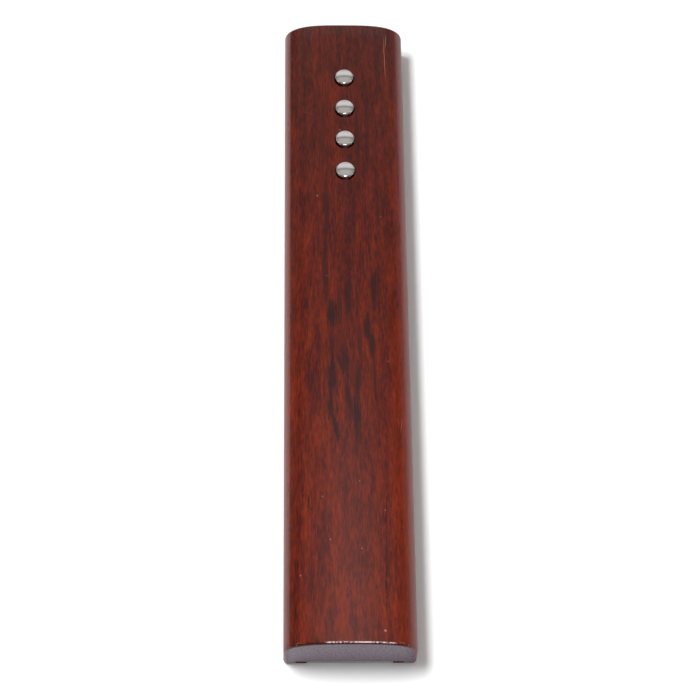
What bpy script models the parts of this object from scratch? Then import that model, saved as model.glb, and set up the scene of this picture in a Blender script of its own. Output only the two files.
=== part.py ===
"""Hand-held infrared remote control: a crowned hardwood bar with four metal push buttons.

Metres, +Z up. The bar lies on its flat underside with its length along Y. The origin is the
centre of the underside, +Y is the end that the infrared light leaves from, and the battery
door slides out towards -Y.
"""

import math

import bmesh
import bpy
from mathutils import Vector

# Wooden body: a flat-bottomed bar, upright sides, crowned top.
BODY_LENGTH = 0.250
BODY_WIDTH = 0.045
BODY_HEIGHT = 0.0207
SIDE_HEIGHT = 0.0116
CROWN_BREADTH_POWER = 3.27
CROWN_RISE_POWER = 2.07
CROWN_SEGMENTS = 44
ARRIS_RADIUS = 0.00125

# Clearances.
TOUCH_GAP = 0.0003
PLATE_RECESS = 0.0002

# T-shaped channel in the underside, open through the near end.
LAND_WIDTH = 0.0043
LIP_REACH = 0.0036
LIP_THICKNESS = 0.0011
SLOT_HEIGHT = 0.0015
CHANNEL_END_MARGIN = 0.010

# Push buttons, counted from the infrared end.
BUTTON_COUNT = 4
BUTTON_DIAMETER = 0.0068
BUTTON_GAP = 0.0004
BUTTON_PITCH = 0.0138
FIRST_BUTTON_FROM_END = 0.0253
BUTTON_PROUD = 0.0020
BUTTON_DOME = 0.00045
BUTTON_EDGE_RADIUS = 0.00055
BUTTON_FLANGE_REACH = 0.0012
BUTTON_FLANGE_THICKNESS = 0.0010
BUTTON_SEGMENTS = 32

# Tact switches below the buttons.
SWITCH_SIDE = 0.0060
SWITCH_HEIGHT = 0.0035
SWITCH_LEG_WIDTH = 0.0007
SWITCH_LEG_REACH = 0.0009
PLUNGER_DIAMETER = 0.0034
PLUNGER_STANDOUT = 0.0012
PLUNGER_DEPTH = 0.0016
SWITCH_FLOOR = 0.0009

# Circuit board, hung from two wooden ledges, with room for its parts above the base plate.
UNDER_BOARD_ROOM = 0.0054
BOARD_THICKNESS = 0.0016
BOARD_LENGTH = 0.066
BOARD_FAR_MARGIN = 0.0124
LEDGE_WIDTH = 0.0046
BOARD_SCREW_INSET = 0.0050

# Infrared emitter and the window in front of it.
LED_DIAMETER = 0.0050
LED_FLANGE_DIAMETER = 0.0058
LED_FLANGE_LENGTH = 0.0010
LED_LENGTH = 0.0087
LED_LEAD_PITCH = 0.00254
LED_LEAD_SIDE = 0.0005
LED_LEAD_REACH = 0.0022
WINDOW_DIAMETER = 0.0090
WINDOW_THICKNESS = 0.0028
WINDOW_CHAMFER = 0.0003

# Battery bay.
CELL_DIAMETER = 0.0105
CELL_LENGTH = 0.0445
CELL_NUB_DIAMETER = 0.0038
CELL_NUB_HEIGHT = 0.0009
CELL_RIB = 0.0008
CELL_HEADROOM = 0.0005
TRAY_WALL = 0.0012
SPRING_SPACE = 0.0034
CONTACT_THICKNESS = 0.0004
BAY_NEAR_MARGIN = 0.010

# Battery springs.
SPRING_WIRE_DIAMETER = 0.0005
SPRING_LARGE_RADIUS = 0.0036
SPRING_SMALL_RADIUS = 0.0022
SPRING_TURNS = 3.5

# Cover plates that run in the channel.
DOOR_LENGTH = 0.068
DOOR_GRIP_COUNT = 5
DOOR_GRIP_WIDTH = 0.0007
DOOR_GRIP_DEPTH = 0.0004
DOOR_GRIP_LENGTH = 0.014
DOOR_GRIP_PITCH = 0.0016
DOOR_GRIP_FROM_END = 0.008

# Leads between the battery tray and the board.
LEAD_DIAMETER = 0.0013
LEAD_SPACING = 0.0026
LEAD_GROOVE_WIDTH = 0.0064
LEAD_GROOVE_HEIGHT = 0.0038
LEAD_LANDING = 0.007

# Screws: shank diameter, head diameter, head height and shank length.
PLATE_SCREW_SHANK = 0.0025
PLATE_SCREW_HEAD = 0.0046
PLATE_SCREW_HEAD_HEIGHT = 0.0012
PLATE_SCREW_LENGTH = 0.0090
PLATE_SCREW_OFFSET_X = 0.0085
PLATE_SCREW_END_MARGIN = 0.009
BOARD_SCREW_SHANK = 0.0018
BOARD_SCREW_HEAD = 0.0034
BOARD_SCREW_HEAD_HEIGHT = 0.0011
BOARD_SCREW_LENGTH = 0.0056
DRIVE_SLOT_WIDTH = 0.0006
DRIVE_SLOT_DEPTH = 0.0005

# Heights, from the underside up.
CHANNEL_DEPTH = LIP_THICKNESS + SLOT_HEIGHT
PLATE_TOP = CHANNEL_DEPTH - TOUCH_GAP
UNDER_BOARD = PLATE_TOP + UNDER_BOARD_ROOM
BOARD_BOTTOM = UNDER_BOARD + TOUCH_GAP
BOARD_TOP = BOARD_BOTTOM + BOARD_THICKNESS
LEDGE_Z = BOARD_TOP + TOUCH_GAP
SWITCH_BOTTOM = BOARD_TOP + TOUCH_GAP
SWITCH_TOP = SWITCH_BOTTOM + SWITCH_HEIGHT
PLUNGER_TOP = SWITCH_TOP + PLUNGER_STANDOUT
FLANGE_BOTTOM = PLUNGER_TOP + TOUCH_GAP
FLANGE_TOP = FLANGE_BOTTOM + BUTTON_FLANGE_THICKNESS
CEILING_Z = FLANGE_TOP + TOUCH_GAP
LED_AXIS_Z = BOARD_TOP + TOUCH_GAP + LED_FLANGE_DIAMETER / 2
CELL_AXIS_Z = CHANNEL_DEPTH + CELL_HEADROOM + CELL_DIAMETER / 2
TRAY_TOP = CELL_AXIS_Z + CELL_DIAMETER / 2 + TOUCH_GAP + TRAY_WALL
TRAY_BOTTOM = CHANNEL_DEPTH + TOUCH_GAP
LEAD_GROOVE_TOP = CHANNEL_DEPTH + LEAD_GROOVE_HEIGHT
LEAD_Z = CHANNEL_DEPTH + LEAD_GROOVE_HEIGHT / 2

# Half widths, from the centre line out.
SLOT_HALF = BODY_WIDTH / 2 - LAND_WIDTH
MOUTH_HALF = SLOT_HALF - LIP_REACH
BOARD_POCKET_HALF = MOUTH_HALF
BOARD_HALF = BOARD_POCKET_HALF - TOUCH_GAP
SWITCH_POCKET_HALF = BOARD_POCKET_HALF - LEDGE_WIDTH
CELL_SPACING = CELL_DIAMETER + CELL_RIB
TRAY_HALF = CELL_SPACING / 2 + CELL_DIAMETER / 2 + TOUCH_GAP + TRAY_WALL

# Stations along the length.
FAR_END = BODY_LENGTH / 2
NEAR_END = -BODY_LENGTH / 2
CHANNEL_END = FAR_END - CHANNEL_END_MARGIN
BOARD_FAR = FAR_END - BOARD_FAR_MARGIN
BOARD_NEAR = BOARD_FAR - BOARD_LENGTH
BUTTON_Y = [FAR_END - FIRST_BUTTON_FROM_END - i * BUTTON_PITCH for i in range(BUTTON_COUNT)]
CELL_RUN = CELL_LENGTH + SPRING_SPACE + 2 * (CONTACT_THICKNESS + TOUCH_GAP)
TRAY_NEAR = NEAR_END + BAY_NEAR_MARGIN + TOUCH_GAP
TRAY_FAR = TRAY_NEAR + CELL_RUN + 2 * TRAY_WALL
DOOR_NEAR = NEAR_END + TOUCH_GAP
DOOR_FAR = DOOR_NEAR + DOOR_LENGTH
PLATE_NEAR = DOOR_FAR + TOUCH_GAP
PLATE_FAR = CHANNEL_END - TOUCH_GAP
PLATE_SCREW_Y = [PLATE_NEAR + PLATE_SCREW_END_MARGIN, BOARD_NEAR - PLATE_SCREW_END_MARGIN]
LED_BASE_Y = BOARD_FAR - LED_FLANGE_LENGTH
WINDOW_BACK_Y = FAR_END - TOUCH_GAP - WINDOW_THICKNESS


def clear_scene():
    for obj in list(bpy.data.objects):
        bpy.data.objects.remove(obj, do_unlink=True)


def make_collection(name, hidden=False):
    collection = bpy.data.collections.new(name)
    bpy.context.scene.collection.children.link(collection)
    collection.hide_render = hidden
    return collection


def make_material(name, color, roughness, metallic=0.0):
    material = bpy.data.materials.new(name)
    material.use_nodes = True
    shader = material.node_tree.nodes["Principled BSDF"]
    shader.inputs["Base Color"].default_value = (*color, 1.0)
    shader.inputs["Roughness"].default_value = roughness
    shader.inputs["Metallic"].default_value = metallic
    material.diffuse_color = (*color, 1.0)
    return material


def place(obj, material=None):
    """Puts a piece in the model's collection, or a shape with no material in the cutters'."""
    for collection in list(obj.users_collection):
        collection.objects.unlink(obj)
    if material is None:
        CUTTERS.objects.link(obj)
        obj.hide_render = True
        obj.display_type = "WIRE"
        return obj
    PARTS.objects.link(obj)
    obj.data.materials.clear()
    obj.data.materials.append(material)
    return obj


def smooth(obj, angle=35.0):
    obj.data.shade_smooth()
    obj.data.set_sharp_from_angle(angle=math.radians(angle))
    return obj


def box(name, low, high, material=None):
    """A block between two opposite corners."""
    low, high = Vector(low), Vector(high)
    bpy.ops.mesh.primitive_cube_add(size=1.0)
    obj = bpy.context.active_object
    obj.name = name
    for vertex in obj.data.vertices:
        for axis in range(3):
            vertex.co[axis] *= high[axis] - low[axis]
    obj.location = (low + high) / 2
    return place(obj, material)


def rod(name, radius, start, end, segments=24):
    """A round cutter between two points."""
    start, end = Vector(start), Vector(end)
    mesh = bpy.data.meshes.new(name)
    shape = bmesh.new()
    bmesh.ops.create_cone(
        shape, cap_ends=True, segments=segments, radius1=radius, radius2=radius,
        depth=(end - start).length,
    )
    shape.to_mesh(mesh)
    shape.free()
    obj = bpy.data.objects.new(name, mesh)
    obj.location = (start + end) / 2
    obj.rotation_euler = (end - start).to_track_quat("Z", "Y").to_euler()
    return place(obj)


def turned(name, profile, segments, material=None):
    """A profile of (radius, height) points, top to bottom, turned about the object's Z axis."""
    mesh = bpy.data.meshes.new(name)
    edges = [(i, i + 1) for i in range(len(profile) - 1)]
    mesh.from_pydata([(radius, 0.0, height) for radius, height in profile], edges, [])
    obj = bpy.data.objects.new(name, mesh)
    screw = obj.modifiers.new("Turn", "SCREW")
    screw.steps = segments
    screw.render_steps = segments
    screw.use_merge_vertices = True
    screw.merge_threshold = 0.00001
    screw.use_smooth_shade = True
    return place(obj, material)


def mesh_from_curve(obj, material=None):
    """Swaps a curve for the mesh that it evaluates to, with its caps welded on."""
    bpy.context.scene.collection.objects.link(obj)
    bpy.context.view_layer.update()
    graph = bpy.context.evaluated_depsgraph_get()
    mesh = bpy.data.meshes.new_from_object(obj.evaluated_get(graph))
    shape = bmesh.new()
    shape.from_mesh(mesh)
    bmesh.ops.remove_doubles(shape, verts=shape.verts, dist=0.000001)
    bmesh.ops.dissolve_limit(
        shape, angle_limit=math.radians(0.01), verts=shape.verts, edges=shape.edges
    )
    shape.to_mesh(mesh)
    shape.free()
    name = obj.name
    solid = bpy.data.objects.new(name + "_solid", mesh)
    solid.matrix_world = obj.matrix_world.copy()
    bpy.data.objects.remove(obj, do_unlink=True)
    solid.name = name
    return place(solid, material)


def prism(name, outline, y_low, y_high, material=None):
    """An (x, z) outline run along Y from y_low to y_high."""
    curve = bpy.data.curves.new(name, "CURVE")
    curve.dimensions = "2D"
    curve.fill_mode = "BOTH"
    curve.extrude = (y_high - y_low) / 2
    spline = curve.splines.new("POLY")
    spline.points.add(len(outline) - 1)
    for point, (x, z) in zip(spline.points, outline):
        point.co = (x, z, 0.0, 1.0)
    spline.use_cyclic_u = True
    obj = bpy.data.objects.new(name, curve)
    obj.location = (0.0, (y_low + y_high) / 2, 0.0)
    obj.rotation_euler = (math.radians(90.0), 0.0, 0.0)
    return mesh_from_curve(obj, material)


def tube(name, points, radius, material, resolution=2):
    """A round wire along the points, as a curve with filled caps."""
    curve = bpy.data.curves.new(name, "CURVE")
    curve.dimensions = "3D"
    curve.bevel_depth = radius
    curve.bevel_resolution = resolution
    curve.use_fill_caps = True
    spline = curve.splines.new("POLY")
    spline.points.add(len(points) - 1)
    for point, co in zip(spline.points, points):
        point.co = (*co, 1.0)
    obj = bpy.data.objects.new(name, curve)
    PARTS.objects.link(obj)
    curve.materials.append(material)
    return obj


def combine(obj, other, operation="DIFFERENCE"):
    modifier = obj.modifiers.new(operation.title(), "BOOLEAN")
    modifier.operation = operation
    modifier.object = other


def soften(obj, width, segments=2, angle=40.0):
    """Rounds the edges sharper than the angle."""
    modifier = obj.modifiers.new("Soften", "BEVEL")
    modifier.width = width
    modifier.segments = segments
    modifier.limit_method = "ANGLE"
    modifier.angle_limit = math.radians(angle)


def crown_height(x):
    """Height of the body's top above its underside at a distance x from the centre line."""
    share = min(abs(x) / (BODY_WIDTH / 2), 1.0)
    rise = (1.0 - share**CROWN_BREADTH_POWER) ** (1.0 / CROWN_RISE_POWER)
    return SIDE_HEIGHT + (BODY_HEIGHT - SIDE_HEIGHT) * rise


def body_outline():
    """The body's section: the flat underside, then the crowned top from right to left."""
    half = BODY_WIDTH / 2
    outline = [(-half, 0.0), (half, 0.0)]
    for step in range(CROWN_SEGMENTS + 1):
        turn = math.cos(math.pi * step / CROWN_SEGMENTS)
        x = math.copysign(half * abs(turn) ** (2.0 / CROWN_BREADTH_POWER), turn)
        outline.append((x, crown_height(x)))
    return outline


def channel_blocks(name, gap, bottom, top, y_low, y_high, material=None):
    """The T channel's two parts, or with a gap, those of what runs in it: the stem, the slot."""
    mouth = MOUTH_HALF - gap
    slot = SLOT_HALF - gap
    lip = LIP_THICKNESS + gap
    stem = box(name + "_stem", (-mouth, y_low, bottom), (mouth, y_high, (lip + top) / 2))
    wings = box(name, (-slot, y_low, lip), (slot, y_high, top), material)
    return [stem, wings]


def make_body(wood):
    """The hardwood bar, with every pocket, bore and channel that the other pieces sit in."""
    body = smooth(prism("wooden_body", body_outline(), NEAR_END, FAR_END, wood))
    soften(body, ARRIS_RADIUS, segments=4)
    cutters = channel_and_pockets() + emitter_bores() + screw_pilots()
    cutters += [
        rod(f"button_bore_{i}", BUTTON_DIAMETER / 2 + BUTTON_GAP,
            (0.0, y, CEILING_Z - SWITCH_HEIGHT), (0.0, y, BODY_HEIGHT + BUTTON_PROUD),
            BUTTON_SEGMENTS)
        for i, y in enumerate(BUTTON_Y, 1)
    ]
    for cutter in cutters:
        combine(body, cutter)
    return body


def channel_and_pockets():
    overrun = ARRIS_RADIUS + 0.002
    channel = channel_blocks("channel", 0.0, -overrun, CHANNEL_DEPTH, NEAR_END - overrun, CHANNEL_END)
    below = CHANNEL_DEPTH / 2
    board = box("board_pocket", (-BOARD_POCKET_HALF, BOARD_NEAR - TOUCH_GAP, below),
                (BOARD_POCKET_HALF, BOARD_FAR + TOUCH_GAP, LEDGE_Z))
    switches = box("switch_pocket", (-SWITCH_POCKET_HALF, BOARD_NEAR - TOUCH_GAP, below),
                   (SWITCH_POCKET_HALF, BOARD_FAR + TOUCH_GAP, CEILING_Z))
    bay = box("battery_pocket", (-TRAY_HALF - TOUCH_GAP, TRAY_NEAR - TOUCH_GAP, below),
              (TRAY_HALF + TOUCH_GAP, TRAY_FAR + TOUCH_GAP, TRAY_TOP + TOUCH_GAP))
    groove = box("lead_groove", (-LEAD_GROOVE_WIDTH / 2, TRAY_FAR, below),
                 (LEAD_GROOVE_WIDTH / 2, BOARD_NEAR, LEAD_GROOVE_TOP))
    return channel + [board, switches, bay, groove]


def emitter_bores():
    """The emitter's bore through the end wall, and the seat of its window."""
    window_radius = WINDOW_DIAMETER / 2 + TOUCH_GAP
    bore = rod("emitter_bore", LED_DIAMETER / 2 + TOUCH_GAP,
               (0.0, BOARD_FAR - LED_FLANGE_LENGTH, LED_AXIS_Z), (0.0, FAR_END + 0.002, LED_AXIS_Z))
    seat = rod("window_seat", window_radius, (0.0, WINDOW_BACK_Y - TOUCH_GAP, LED_AXIS_Z),
               (0.0, FAR_END + 0.002, LED_AXIS_Z), 32)
    return [bore, seat]


def screw_pilots():
    pilots = []
    for i, (x, y) in enumerate(plate_screw_places(), 1):
        top = PLATE_TOP + PLATE_SCREW_LENGTH + TOUCH_GAP
        pilots.append(rod(f"plate_pilot_{i}", PLATE_SCREW_SHANK / 2 + TOUCH_GAP,
                          (x, y, CHANNEL_DEPTH / 2), (x, y, top), 16))
    for i, (x, y) in enumerate(board_screw_places(), 1):
        top = BOARD_BOTTOM + BOARD_SCREW_LENGTH + TOUCH_GAP
        pilots.append(rod(f"board_pilot_{i}", BOARD_SCREW_SHANK / 2 + TOUCH_GAP,
                          (x, y, BOARD_TOP), (x, y, top), 16))
    return pilots


def plate_screw_places():
    return [(side * PLATE_SCREW_OFFSET_X, y) for y in PLATE_SCREW_Y for side in (-1, 1)]


def board_screw_places():
    x = BOARD_POCKET_HALF - LEDGE_WIDTH / 2
    ends = (BOARD_NEAR + BOARD_SCREW_INSET, BOARD_FAR - BOARD_SCREW_INSET)
    return [(side * x, y) for y in ends for side in (-1, 1)]


def button_profile():
    """A cap with a shallow dome, a rounded edge, and a flange that holds it in below the wood."""
    radius = BUTTON_DIAMETER / 2
    top = BODY_HEIGHT + BUTTON_PROUD
    edge = BUTTON_EDGE_RADIUS
    flat = radius - edge
    shoulder = top - BUTTON_DOME
    profile = [(flat * i / 4, top - BUTTON_DOME * (i / 4) ** 2) for i in range(5)]
    for i in range(1, 5):
        turn = math.radians(90.0 * i / 4)
        profile.append((flat + edge * math.sin(turn), shoulder - edge * (1 - math.cos(turn))))
    profile += [
        (radius, FLANGE_TOP),
        (radius + BUTTON_FLANGE_REACH, FLANGE_TOP),
        (radius + BUTTON_FLANGE_REACH, FLANGE_BOTTOM),
        (0.0, FLANGE_BOTTOM),
    ]
    return profile


def make_button(index, y, chrome, ivory, black, tin):
    """One cap, the switch below it and the switch's plunger, all on one upright axis."""
    cap = turned(f"button_cap_{index}", button_profile(), BUTTON_SEGMENTS, chrome)
    cap.location = (0.0, y, 0.0)

    radius = PLUNGER_DIAMETER / 2
    rounding = radius / 6
    profile = [
        (0.0, PLUNGER_TOP),
        (radius - rounding, PLUNGER_TOP),
        (radius, PLUNGER_TOP - rounding),
        (radius, SWITCH_TOP - PLUNGER_DEPTH),
        (0.0, SWITCH_TOP - PLUNGER_DEPTH),
    ]
    plunger = turned(f"switch_plunger_{index}", profile, 20, ivory)
    plunger.location = (0.0, y, 0.0)

    half = SWITCH_SIDE / 2
    housing = box(f"tact_switch_{index}", (-half, y - half, SWITCH_BOTTOM), (half, y + half, SWITCH_TOP),
                  black)
    soften(housing, SWITCH_SIDE / 20)
    combine(housing, rod(f"plunger_bore_{index}", radius + TOUCH_GAP / 2,
                         (0.0, y, SWITCH_BOTTOM + SWITCH_FLOOR), (0.0, y, PLUNGER_TOP), 20))
    reach = half + SWITCH_LEG_REACH
    for side in (-1, 1):
        leg_y = y + side * (half - SWITCH_LEG_WIDTH)
        leg = box(f"switch_leg_{index}_{side + 2}",
                  (-reach, leg_y - SWITCH_LEG_WIDTH / 2, SWITCH_BOTTOM),
                  (reach, leg_y + SWITCH_LEG_WIDTH / 2, SWITCH_BOTTOM + SWITCH_LEG_WIDTH / 2))
        leg.data.materials.append(tin)
        combine(housing, leg, "UNION")


def make_board(laminate):
    """The circuit board, drilled for the screws that hang it from its ledges."""
    board = box("circuit_board", (-BOARD_HALF, BOARD_NEAR, BOARD_BOTTOM), (BOARD_HALF, BOARD_FAR, BOARD_TOP),
                laminate)
    for i, (x, y) in enumerate(board_screw_places(), 1):
        hole = rod(f"board_hole_{i}", BOARD_SCREW_SHANK / 2 + TOUCH_GAP,
                   (x, y, BOARD_BOTTOM - 0.001), (x, y, BOARD_TOP + 0.001), 16)
        combine(board, hole)
    return board


def make_emitter(amber):
    """A round infrared emitter lying along Y, its domed tip towards the window."""
    radius = LED_DIAMETER / 2
    profile = []
    for i in range(7):
        turn = math.radians(90.0 * i / 6)
        profile.append((radius * math.sin(turn), LED_LENGTH - radius * (1 - math.cos(turn))))
    profile += [
        (radius, LED_FLANGE_LENGTH),
        (LED_FLANGE_DIAMETER / 2, LED_FLANGE_LENGTH),
        (LED_FLANGE_DIAMETER / 2, 0.0),
        (0.0, 0.0),
    ]
    emitter = turned("infrared_emitter", profile, 24, amber)
    emitter.location = (0.0, LED_BASE_Y, LED_AXIS_Z)
    emitter.rotation_euler = (math.radians(-90.0), 0.0, 0.0)
    half = LED_LEAD_SIDE / 2
    back = LED_BASE_Y - LED_LEAD_REACH
    for side in (-1, 1):
        x = side * LED_LEAD_PITCH / 2
        run = box(f"emitter_lead_run_{side + 2}", (x - half, back, LED_AXIS_Z - half),
                  (x + half, LED_BASE_Y + LED_FLANGE_LENGTH / 2, LED_AXIS_Z + half))
        drop = box(f"emitter_lead_drop_{side + 2}", (x - half, back - half, BOARD_TOP + TOUCH_GAP),
                   (x + half, back + half, LED_AXIS_Z + half / 2))
        combine(emitter, run, "UNION")
        combine(emitter, drop, "UNION")
    return emitter


def make_window(smoked):
    radius = WINDOW_DIAMETER / 2
    profile = [
        (0.0, WINDOW_THICKNESS),
        (radius - WINDOW_CHAMFER, WINDOW_THICKNESS),
        (radius, WINDOW_THICKNESS - WINDOW_CHAMFER),
        (radius, 0.0),
        (0.0, 0.0),
    ]
    window = turned("infrared_window", profile, 32, smoked)
    window.location = (0.0, WINDOW_BACK_Y, LED_AXIS_Z)
    window.rotation_euler = (math.radians(-90.0), 0.0, 0.0)
    return window


def board_station(share):
    """A place along the board, as a share of its length from the near edge."""
    return BOARD_NEAR + share * BOARD_LENGTH


def make_chip(black, tin):
    """The encoder chip below the board, with gull-wing legs down both sides."""
    length, width, height = 0.0128, 0.0075, 0.0023
    leg_count, leg_pitch, leg_width, leg_reach = 10, 0.00127, 0.0004, 0.0013
    y = board_station(0.56)
    chip = box("encoder_chip", (-width / 2, y - length / 2, UNDER_BOARD - height),
               (width / 2, y + length / 2, UNDER_BOARD), black)
    reach = width / 2 + leg_reach
    for i in range(leg_count):
        leg_y = y + (i - (leg_count - 1) / 2) * leg_pitch
        leg = box(f"chip_leg_{i + 1}", (-reach, leg_y - leg_width / 2, UNDER_BOARD - leg_width * 2),
                  (reach, leg_y + leg_width / 2, UNDER_BOARD - leg_width))
        leg.data.materials.append(tin)
        combine(chip, leg, "UNION")
    return chip


def make_resonator(blue):
    length, width, height = 0.0070, 0.0028, 0.0040
    x, y = SWITCH_POCKET_HALF / 2, board_station(0.34)
    resonator = box("ceramic_resonator", (x - length / 2, y - width / 2, UNDER_BOARD - height),
                    (x + length / 2, y + width / 2, UNDER_BOARD), blue)
    soften(resonator, width / 5, segments=3)
    return resonator


def make_capacitor(sleeve):
    """A low electrolytic can hanging below the board, crimped near its base."""
    radius, height, crimp = 0.0025, 0.0042, 0.00025
    profile = [
        (0.0, 0.0),
        (radius, 0.0),
        (radius, -height * 0.14),
        (radius - crimp, -height * 0.20),
        (radius, -height * 0.26),
        (radius, -height + crimp),
        (radius - crimp, -height),
        (0.0, -height),
    ]
    capacitor = turned("capacitor", profile, 24, sleeve)
    capacitor.location = (-SWITCH_POCKET_HALF / 2, board_station(0.34), UNDER_BOARD)
    return capacitor


def make_transistor(black):
    """A half-round driver transistor for the emitter."""
    radius, height, flat = 0.0023, 0.0040, 0.0012
    x, y = -SWITCH_POCKET_HALF / 2, board_station(0.82)
    profile = [(0.0, 0.0), (radius, 0.0), (radius, -height), (0.0, -height)]
    transistor = turned("driver_transistor", profile, 24, black)
    transistor.location = (x, y, UNDER_BOARD)
    combine(transistor, box("transistor_flat", (x - radius * 2, y - radius * 2, UNDER_BOARD - height * 2),
                            (x + radius * 2, y - flat, UNDER_BOARD + height)))
    return transistor


def make_resistor(index, share, beige):
    """An axial resistor across the board: two swollen ends on a narrower barrel."""
    end_radius, waist_radius, length, wire_radius, reach = 0.0009, 0.00075, 0.0034, 0.00025, 0.0016
    half = length / 2
    profile = [
        (0.0, half + reach),
        (wire_radius, half + reach),
        (wire_radius, half),
        (end_radius * 0.8, half),
        (end_radius, half - 0.0003),
        (end_radius, half - 0.0007),
        (waist_radius, half - 0.0010),
    ]
    profile += [(radius, -height) for radius, height in reversed(profile)]
    resistor = turned(f"resistor_{index}", profile, 16, beige)
    resistor.location = (SWITCH_POCKET_HALF / 2, board_station(share), UNDER_BOARD - end_radius)
    resistor.rotation_euler = (0.0, math.radians(90.0), 0.0)
    return resistor


def make_tray(plastic):
    """The tray that holds two cells side by side, open towards the door."""
    tray = box("battery_tray", (-TRAY_HALF, TRAY_NEAR, TRAY_BOTTOM), (TRAY_HALF, TRAY_FAR, TRAY_TOP), plastic)
    radius = CELL_DIAMETER / 2 + TOUCH_GAP
    arc = [math.radians(180.0 * i / 14) for i in range(15)]
    for i, x in enumerate((-CELL_SPACING / 2, CELL_SPACING / 2), 1):
        outline = [(x + radius * math.cos(turn), CELL_AXIS_Z + radius * math.sin(turn)) for turn in arc]
        outline += [(x - radius, 0.0), (x + radius, 0.0)]
        combine(tray, prism(f"trough_{i}", outline, TRAY_NEAR + TRAY_WALL, TRAY_FAR - TRAY_WALL))
    return tray


def make_cell(index, x, facing, jacket, nickel):
    """A cell, its coiled spring at the flat end and its contact plate at the nub."""
    radius = CELL_DIAMETER / 2
    nub = CELL_NUB_DIAMETER / 2
    shoulder = CELL_LENGTH - CELL_NUB_HEIGHT
    profile = [
        (0.0, CELL_LENGTH),
        (nub * 0.9, CELL_LENGTH),
        (nub, CELL_LENGTH - nub * 0.1),
        (nub, shoulder),
        (radius * 0.92, shoulder),
        (radius, shoulder - radius * 0.08),
        (radius, radius * 0.08),
        (radius * 0.92, 0.0),
        (0.0, 0.0),
    ]
    near_wall = TRAY_NEAR + TRAY_WALL
    far_wall = TRAY_FAR - TRAY_WALL
    spring_wall = near_wall if facing > 0 else far_wall
    contact_wall = far_wall if facing > 0 else near_wall
    cell = turned(f"battery_{index}", profile, 32, jacket)
    tip = contact_wall - facing * (CONTACT_THICKNESS + 2 * TOUCH_GAP)
    cell.location = (x, tip - facing * CELL_LENGTH, CELL_AXIS_Z)
    cell.rotation_euler = (math.radians(-90.0 * facing), 0.0, 0.0)

    half = radius * math.sqrt(0.5)
    near, far = sorted(contact_wall - facing * gap for gap in (TOUCH_GAP, TOUCH_GAP + CONTACT_THICKNESS))
    box(f"contact_plate_{index}", (x - half, near, CELL_AXIS_Z - half), (x + half, far, CELL_AXIS_Z + half),
        nickel)
    make_spring(index, x, spring_wall, facing, nickel)


def make_spring(index, x, wall, facing, nickel):
    """A cone-shaped coil from the tray's wall to the cell's flat end."""
    start = TOUCH_GAP + SPRING_WIRE_DIAMETER / 2
    stretch = SPRING_SPACE - 2 * start - TOUCH_GAP
    count = int(SPRING_TURNS * 14)
    points = []
    for i in range(count + 1):
        share = i / count
        turn = 2 * math.pi * SPRING_TURNS * share
        radius = SPRING_LARGE_RADIUS + (SPRING_SMALL_RADIUS - SPRING_LARGE_RADIUS) * share
        points.append((x + radius * math.cos(turn), wall + facing * (start + stretch * share),
                       CELL_AXIS_Z + radius * math.sin(turn)))
    return tube(f"battery_spring_{index}", points, SPRING_WIRE_DIAMETER / 2, nickel, resolution=1)


def make_lead(name, x, insulation):
    """A lead along its groove from the tray, easing up to the underside of the board."""
    start = TRAY_FAR + TOUCH_GAP
    landing = BOARD_NEAR + LEAD_LANDING
    top = UNDER_BOARD - TOUCH_GAP
    rise_run = LEAD_LANDING - LEAD_DIAMETER
    points = [(x, start + (landing - rise_run - start) * i / 6, LEAD_Z) for i in range(6)]
    for i in range(11):
        share = i / 10
        ease = share * share * (3 - 2 * share)
        points.append((x, landing - rise_run * (1 - share), LEAD_Z + (top - LEAD_DIAMETER - LEAD_Z) * ease))
    return tube(name, points, LEAD_DIAMETER / 2, insulation)


def countersunk_screw(name, x, y, steel):
    """A plate screw, head down, its face level with the plate's underside."""
    head, shank = PLATE_SCREW_HEAD / 2, PLATE_SCREW_SHANK / 2
    face = PLATE_RECESS + TOUCH_GAP
    rim = face + PLATE_SCREW_HEAD_HEIGHT / 6
    tip = PLATE_TOP + PLATE_SCREW_LENGTH
    profile = [
        (0.0, tip),
        (shank * 0.3, tip - shank * 0.3),
        (shank, tip - shank * 2),
        (shank, face + PLATE_SCREW_HEAD_HEIGHT),
        (head, rim),
        (head, face),
        (0.0, face),
    ]
    screw = turned(name, profile, 20, steel)
    screw.location = (x, y, 0.0)
    cut_cross(screw, name, x, y, head * 0.62, face)
    return screw


def pan_screw(name, x, y, steel):
    """A board screw, its domed head below the board."""
    head, shank = BOARD_SCREW_HEAD / 2, BOARD_SCREW_SHANK / 2
    seat = BOARD_BOTTOM - TOUCH_GAP
    face = seat - BOARD_SCREW_HEAD_HEIGHT
    tip = BOARD_BOTTOM + BOARD_SCREW_LENGTH
    profile = [
        (0.0, tip),
        (shank * 0.3, tip - shank * 0.3),
        (shank, tip - shank * 2),
        (shank, seat),
        (head, seat),
        (head, face + BOARD_SCREW_HEAD_HEIGHT / 2),
        (head * 0.7, face),
        (0.0, face),
    ]
    screw = turned(name, profile, 16, steel)
    screw.location = (x, y, 0.0)
    cut_cross(screw, name, x, y, head * 0.6, face)
    return screw


def cut_cross(screw, name, x, y, reach, face):
    """The cross recess in a screw's head."""
    half = DRIVE_SLOT_WIDTH / 2
    for label, wide, deep in (("a", reach, half), ("b", half, reach)):
        combine(screw, box(f"{name}_recess_{label}", (x - wide, y - deep, face - DRIVE_SLOT_DEPTH),
                           (x + wide, y + deep, face + DRIVE_SLOT_DEPTH)))


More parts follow.
